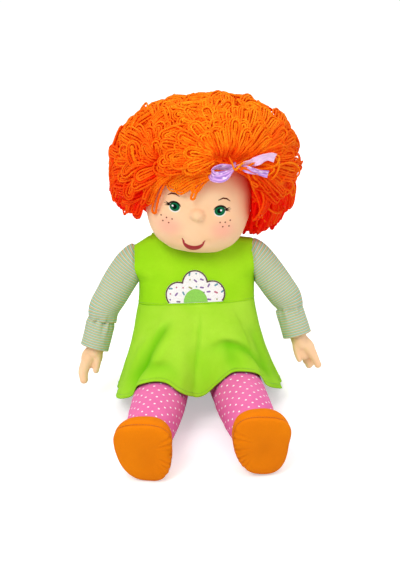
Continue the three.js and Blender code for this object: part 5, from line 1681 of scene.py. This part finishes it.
# Bunches from the knot: (count, first and last degree, share of the way out, nearest and farthest millimetres)
LOCK_ROOT = ((17, -96, 46, 1.035, (36, 50)), (21, -99, 48, 1.01, (50, 66)), (24, -99, 48, 0.98, (66, 82)),
             (24, -99, 46, 0.93, (40, 74)))
LOCK_END = ((12, 50, 124, 1.01, (42, 62)), (15, 46, 124, 0.97, (58, 76)), (14, 46, 120, 0.91, (40, 66)))
FRINGE = (
    ([(28, -80, 121), (8, -85, 117), (-18, -79, 110), (-42, -66, 96)], (2.0, 5.4, 8.8)),
    ([(24, -82, 118), (4, -86, 112), (-18, -80, 103), (-35, -69, 89)], (1.8, 5.0, 8.2)),
    ([(24, -82, 117), (6, -86, 110), (-12, -81, 100), (-26, -73, 87)], (1.8, 5.0, 7.6)),
    ([(22, -82, 116), (8, -86, 108), (-3, -82, 98), (-8, -80, 89)], (2.2, 5.0)),
    ([(8, -84, 110), (-4, -82, 97), (-9.5, -78, 77)], (2.2,)),
    ([(-34, -75, 108), (-46, -68, 92), (-53, -62, 70), (-55, -56, 51)], (3.4,)),
    ([(-36, -75, 110), (-50, -68, 95), (-59, -61, 78), (-63, -55, 64)], (1.8, 4.8)),
    ([(-30, -78, 112), (-44, -73, 102), (-56, -66, 90), (-64, -58, 80)], (1.7, 4.8, 7.8)),
)
LOOSE = (
    [(38, 122), (52, 117), (58, 110), (67, 107), (76, 108), (82, 115), (84, 124), (80, 131), (68, 134), (53, 131)],
    [(44, 122), (52, 117), (62, 114), (72, 113), (79, 119), (74, 124), (61, 125)],
    [(69, 123), (83, 124), (100, 125), (111, 117), (112, 111), (107, 106), (100, 107), (90, 109)],
    [(48, 117), (55, 108), (61, 99), (68, 94), (77, 89), (83, 87), (93, 90), (94, 98)],
    [(61, 87), (69, 93), (73, 101), (76, 104), (86, 103), (94, 108), (99, 116)],
    [(63, 99), (72, 95), (81, 90), (92, 88), (103, 91), (106, 98), (102, 103), (92, 106)],
    [(66, 91), (74, 78), (75, 65), (80, 51), (76, 43), (71, 51), (70, 63), (72, 74)],
    [(60, 94), (70, 84), (78, 78), (87, 69), (94, 62), (101, 64), (100, 72)],
    [(91, 98), (100, 93), (105, 88), (108, 83), (110, 88), (108, 95), (101, 101)],
    [(26, 131), (30, 125), (33, 118), (37, 121), (42, 126), (56, 130)],
    [(40, 118), (50, 124), (62, 131), (74, 136), (84, 132), (80, 124), (66, 120), (50, 120)],
)
HANG_LEFT = (((63, -34, 102), (65, -30, 76), (66, -23, 54), (63, -16, 37)),
             ((70, -38, 104), (78, -34, 76), (81, -26, 54), (77, -18, 35)),
             ((74, -42, 106), (88, -36, 83), (95, -26, 61), (92, -16, 41)),
             ((78, -42, 108), (98, -32, 89), (107, -20, 70), (105, -10, 52)),
             ((80, -40, 112), (104, -26, 100), (113, -12, 85), (114, -4, 69)))
HANG_RIGHT = (((-60, -50, 92), (-64, -46, 76), (-69, -42, 61), (-71, -38, 49)),
              ((-62, -50, 96), (-76, -42, 77), (-84, -34, 61), (-86, -27, 48)),
              ((-66, -46, 100), (-88, -34, 86), (-98, -24, 71), (-101, -15, 57)),
              ((-70, -42, 106), (-96, -28, 96), (-106, -16, 84), (-107, -8, 70)))


def build_hair():
    rng = np.random.default_rng(20)
    count = bpy.context.scene.doll_head.bunches
    runs, depth = merged([whole_wig(rng, int(count * amount), share) for share, amount in LAYERS])
    x, y, z = runs[:, runs.shape[1] // 2].T
    zone = np.where(z > PARTING, 0, np.where(y > NAPE_LINE, 3, np.where(x > 0, 1, 2)))
    for k, node in enumerate(("hair_crown", "hair_side_left", "hair_side_right", "hair_back")):
        spun(f"{node}_yarn", (runs[zone == k], depth[zone == k]), node)
    build_hair_underlay()
    spun("tied_lock_root_yarn", merged([from_knot(rng, *row) for row in LOCK_ROOT]), "tied_lock_root")
    spun("tied_lock_end_yarn", merged([from_knot(rng, *row) for row in LOCK_END]), "tied_lock_end")
    fringe, loose = placed_loops(rng, FRINGE), loose_yarns(rng, LOOSE)
    spun("fringe_yarn", fringe, "tied_lock_root", 1.1)
    spun("loose_yarn", loose, "tied_lock_end", 1.08)
    spun("hair_low_left_yarn", hanging(rng, HANG_LEFT, 18, ((0, 0), (12, -4), (24, -8))), "hair_side_left")
    spun("hair_low_right_yarn", hanging(rng, HANG_RIGHT, 13, ((0, 0), (12, -3), (24, -6))), "hair_side_right")


def build_hair_underlay():
    """A dense inner mass of yarn that closes the view to the cap."""
    rows, sides = 70, 160
    z = np.cos(np.linspace(0.04, math.pi - 0.5, rows))[:, None] * np.ones(sides)
    turn = 2 * math.pi * np.arange(sides) / sides * np.ones((rows, 1))
    way = np.stack([np.sqrt(1 - z**2) * np.cos(turn), np.sqrt(1 - z**2) * np.sin(turn), z], 2)
    made = cloth_grid("hair_inner_yarn", hair_at(way, 0.8), HEAD, close=(True, False), flip=True)
    back = HEAD.inverted()

    def open_face(p):
        near = 70 if p.x > 0 and p.z < 108 else 62
        return abs(p.x) < near and p.y < -3 and p.z < float(WINDOW(p.x)) + 5

    with edited(made.data) as mesh:
        own = {v: back @ (v.co / MM) for v in mesh.verts}
        gone = [v for v, p in own.items() if open_face(p) or p.z < HAIR_BOTTOM + 8]
        bmesh.ops.delete(mesh, geom=gone, context="VERTS")
    displace(made, (0.0016, 0.009, 2.5), (0.0012, 0.004, 1.5))
    thicken(made, 3.0)
    # painted shade and painted glow: redder and glowing more inside and at the back, so that no red light falls on
    # the face
    set_painted_light(made.data, [np.interp((back @ (v.co / MM)).y, (-48, -8), (0.25, 1)) for v in made.data.vertices])
    dress(made, "yarn", "head", "yarn", "wig_cap")


def ribbon_strip(node, points, ways, width, looped=False, painted_highlight_share=0.0):
    """A strip of satin from the knot, through points, its width lying along the ways."""
    line = Line([KNOT + p for p in points])
    lie = [through(list(zip(np.linspace(0, 1, len(ways)), column))) for column in np.array(ways, float).T]
    grid = []
    for t in np.linspace(0, 1, 60):
        ahead = line.along(t)
        way = np.array([float(part(t)) for part in lie])
        way = unit(way - ahead * (way @ ahead))
        end = min(t, 1 - t) if looped else t
        pinch = 0.34 + 0.66 * eased(min(1, end * 3.6))
        curl = np.cross(way, ahead)
        grid.append([line.at(t) + way * width / 2 * pinch * s + curl * 0.9 * pinch * (1 - s * s)
                     for s in np.linspace(-1, 1, 11)])
    made = cloth_grid(f"{node}_satin", grid, HEAD, wrap=False)
    modify(made, "SOLIDIFY", thickness=0.0004, offset=0)
    settle(made)
    # the share of painted highlight, pale pink, over the whole strip
    set_painted_light(made.data, np.full(len(made.data.vertices), painted_highlight_share))
    dress(made, "satin", "head", "ribbon", node)


def build_ribbon():
    data = bpy.data.meshes.new("ribbon_knot_satin")
    with edited(data) as knot:
        bmesh.ops.create_uvsphere(knot, u_segments=24, v_segments=16, radius=4.2)
        for v in knot.verts:
            a = math.atan2(v.co.z, v.co.x)
            v.co *= 1 + 0.06 * math.sin(5 * a + v.co.y)
            v.co.y *= 0.8
    data.transform(Matrix.Scale(MM, 4) @ HEAD @ Matrix.Translation(Vector(KNOT)))
    data.uv_layers.new(name="UVMap")
    dress(new_object("ribbon_knot_satin", data), "satin", "head", "ribbon", "ribbon_knot")
    ribbon_strip(
        "ribbon_loop",
        [(-2, -15, -1), (-11, -17, -1), (-21, -18, -2.5), (-28, -20, -5.5), (-30.5, -22, -9), (-27, -26, -12),
         (-19, -27, -12), (-10, -24, -8), (-3, -19, -2)],
        [(0, -0.2, 1), (0.1, -0.6, 0.8), (0.15, -0.7, 0.7), (0.3, -0.2, 0.9), (0.25, 0.35, 0.9), (0.1, 0.1, 1)],
        13.5, looped=True)
    ribbon_strip(
        "ribbon_tail_upper",
        [(2, -17, 1.5), (10, -20, 5.4), (18, -19, 7.6), (25, -18.5, 10.5), (32.5, -15, 14), (38.7, -13.5, 15.5),
         (46, -9, 13.5)],
        [(0, -0.6, 0.9), (-0.2, -0.7, 0.8), (-0.1, 0.1, 1), (-0.3, -0.5, 0.8), (0.1, -0.1, 1)],
        # the upper tail has a painted highlight all over
        11, painted_highlight_share=0.75)
    ribbon_strip(
        "ribbon_tail_lower",
        [(2, -17, -0.5), (10, -21, -0.5), (19, -21.5, -2), (28, -20, -3.5), (39, -16, -5.5)],
        [(0, -0.6, 0.9), (0, -0.2, 1), (0.1, -0.6, 0.8), (0, -0.1, 1)],
        9)


def build_neck():
    profile = [(0.4, -16.9), (8, -15), (14, -9.6), (16.6, -3.5), (16.8, 3), (14.6, 8.8), (13.4, 11), (12.2, 12),
               (12.2, 15), (13.2, 16.4), (13.0, NECK_LIFT - 0.5)]
    angle = 2 * np.pi * np.arange(72) / 72
    ripple = 0.2 * np.sin(18 * angle)
    rings = [np.stack([(r + ripple) * np.cos(angle), (r + ripple) * np.sin(angle), np.full(72, z)], 1)
             for r, z in profile]
    made = cloth_grid("neck_cloth_tied", rings, HEAD, close=(True, True))
    dress(made, "lining", "neck", "lining", "neck_cloth")


def build_tapes():
    grow_by = 2 * GAP + DRESS_CLOTH + 1.1
    for name, side in (("back_hook_tape", 1), ("back_loop_tape", -1)):
        xs = np.linspace(GAP, 14 + GAP, 16) * side
        grid = []
        for h in np.linspace(ARM_CENTRE - 31, ARM_CENTRE + 31 - 14, 50):
            y = (float(BODY_DEPTH(h)) + grow_by) * flat_oval(xs / (float(BODY_WIDTH(h)) + grow_by))
            grid.append(np.stack([xs, y, np.full(16, h)], 1))
        made = cloth_grid(f"{name}_strip", grid, TORSO, wrap=False, flip=side > 0)
        displace(made, (0.0003, 0.0015, 3.0))
        thicken(made, 1.0)
        dress(made, "tape", "torso", "closure_tape", name)


def finish_tie():
    """The neck's tie stays as the CAD made it and takes a cord's material."""
    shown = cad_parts["neck_tie"].data.materials
    shown.clear()
    shown.append(finish("tie"))


# Stage
LIGHTS = (("key", (-1.2, -1.9, 2.6), 1.5, 52), ("fill", (2.0, -1.6, 1.2), 2.0, 14), ("top", (0.2, 0.8, 2.6), 2.0, 28))
LIGHT_AIM = Vector((0, -0.04, 0.2))
CAMERA_LENS, CAMERA_AWAY, CAMERA_RISE, CAMERA_ROLL = 80.65, 1.6, 23, -2.4
CAMERA_AIM = Vector((0.0063, -0.0388, 0.1589))


def aimed(name, data, spot, back):
    """An object at a spot, looking against the direction back."""
    shown = new_object(name, data)
    shown.matrix_world = Matrix.Translation(spot) @ back.to_track_quat("Z", "Y").to_matrix().to_4x4()
    return shown


def build_floor():
    floor = bpy.data.meshes.new("floor")
    floor.from_pydata([(-6, -5, 0), (6, -5, 0), (6, 9, 0), (-6, 9, 0)], [], [(0, 1, 2, 3)])
    made = new_object("floor", floor)
    paint = Finish("pale_floor", Base_Color=(0.8, 0.8, 0.8, 1), Roughness=0.9)
    glow = paint.both(paint.node("LightPath", out="Is Camera Ray"), 0.42)
    lit = paint.node("AddShader", paint.surface.outputs[0], paint.node("Emission", None, glow))
    paint.put(paint.tree.nodes["Material Output"].inputs["Surface"], lit)
    floor.materials.append(paint.material)


def build_sky():
    """White where it is seen directly, in a gloss or through glass, and dimmer as a light."""
    world = bpy.data.worlds.new("studio")
    bpy.context.scene.world = world
    world.use_nodes = True
    sky = Nodes(world.node_tree)
    seen = sky.math("ADD", *(sky.node("LightPath", out=f"Is {ray} Ray") for ray in ("Camera", "Glossy")), clamp=True)
    seen = sky.math("ADD", seen, sky.node("LightPath", out="Is Transmission Ray"), clamp=True)
    ground = sky.tree.nodes["Background"]
    ground.inputs["Color"].default_value = (1, 1, 1, 1)
    sky.put(ground.inputs["Strength"], sky.node("MapRange", seen, 0.0, 1.0, 0.55, 1.0))


def build_stage():
    build_floor()
    build_sky()
    for name, spot, size, power in LIGHTS:
        lamp = bpy.data.lights.new(name, "AREA")
        lamp.size, lamp.energy = size, power
        aimed(name, lamp, spot, Vector(spot) - LIGHT_AIM)
    camera = bpy.data.cameras.new("camera")
    camera.lens = CAMERA_LENS
    rise = math.radians(CAMERA_RISE)
    back = Vector((0, -math.cos(rise), math.sin(rise)))
    shown = aimed("camera", camera, CAMERA_AIM + CAMERA_AWAY * back, back)
    shown.matrix_world = shown.matrix_world @ turned("Z", CAMERA_ROLL)
    bpy.context.scene.camera = shown
    bpy.context.scene.view_settings.view_transform = "Standard"


class DOLL_OT_stage(bpy.types.Operator):
    """Floor, soft lights and the camera at the photographed angle"""

    bl_idname = "doll.stage"
    bl_label = "Stage"

    def execute(self, context):
        build_stage()
        return {"FINISHED"}


class DOLL_OT_body(bpy.types.Operator):
    """Stuffed cloth body and the tied cloth neck"""

    bl_idname = "doll.body"
    bl_label = "Body and Neck"

    def execute(self, context):
        build_body()
        build_neck()
        finish_tie()
        return {"FINISHED"}


class DOLL_OT_legs(bpy.types.Operator):
    """Dotted legs and booties with padded soles"""

    bl_idname = "doll.legs"
    bl_label = "Legs and Shoes"

    def execute(self, context):
        for name in SIDES:
            build_leg(name)
            build_shoe(name)
        return {"FINISHED"}


class DOLL_OT_dress(bpy.types.Operator):
    """Bodice, skirt, flower and the closure at the back"""

    bl_idname = "doll.dress"
    bl_label = "Dress"

    def execute(self, context):
        build_bodice()
        build_skirt()
        build_flower()
        build_tapes()
        return {"FINISHED"}


class DOLL_OT_arms(bpy.types.Operator):
    """Striped sleeves with gathered cuffs, and vinyl hands"""

    bl_idname = "doll.arms"
    bl_label = "Arms and Hands"

    def execute(self, context):
        for name in SIDES:
            build_sleeve(name)
            build_cuff(name)
            build_hand(name)
        return {"FINISHED"}


class DOLL_OT_head(bpy.types.Operator):
    """Vinyl head with its painted face"""

    bl_idname = "doll.head"
    bl_label = "Head"

    def execute(self, context):
        build_head()
        return {"FINISHED"}


class DOLL_OT_hair(bpy.types.Operator):
    """Yarn-loop hair, the tied lock and its ribbon"""

    bl_idname = "doll.hair"
    bl_label = "Hair and Ribbon"

    def execute(self, context):
        build_hair()
        build_ribbon()
        return {"FINISHED"}


class DOLL_PT_panel(bpy.types.Panel):
    """The doll's settings and building steps in the sidebar"""

    bl_idname = "DOLL_PT_panel"
    bl_label = "Doll"
    bl_space_type = "VIEW_3D"
    bl_region_type = "UI"
    bl_category = "Doll"

    def draw(self, context):
        for group in (context.scene.doll_dress, context.scene.doll_head):
            for key in group.__annotations__:
                self.layout.prop(group, key)
        for operator in OPERATORS:
            self.layout.operator(operator.bl_idname)


OPERATORS = (DOLL_OT_stage, DOLL_OT_body, DOLL_OT_legs, DOLL_OT_dress, DOLL_OT_arms, DOLL_OT_head, DOLL_OT_hair)
CLASSES = (DollDressProperties, DollHeadProperties, *OPERATORS, DOLL_PT_panel)


def register():
    for kind in CLASSES:
        bpy.utils.register_class(kind)
    bpy.types.Scene.doll_dress = bpy.props.PointerProperty(type=DollDressProperties)
    bpy.types.Scene.doll_head = bpy.props.PointerProperty(type=DollHeadProperties)


def unregister():
    del bpy.types.Scene.doll_head
    del bpy.types.Scene.doll_dress
    for kind in reversed(CLASSES):
        bpy.utils.unregister_class(kind)


def main():
    register()
    bpy.ops.doll.stage()
    bpy.ops.doll.body()
    bpy.ops.doll.legs()
    bpy.ops.doll.dress()
    bpy.ops.doll.arms()
    bpy.ops.doll.head()
    bpy.ops.doll.hair()


if __name__ == "__main__":
    main()
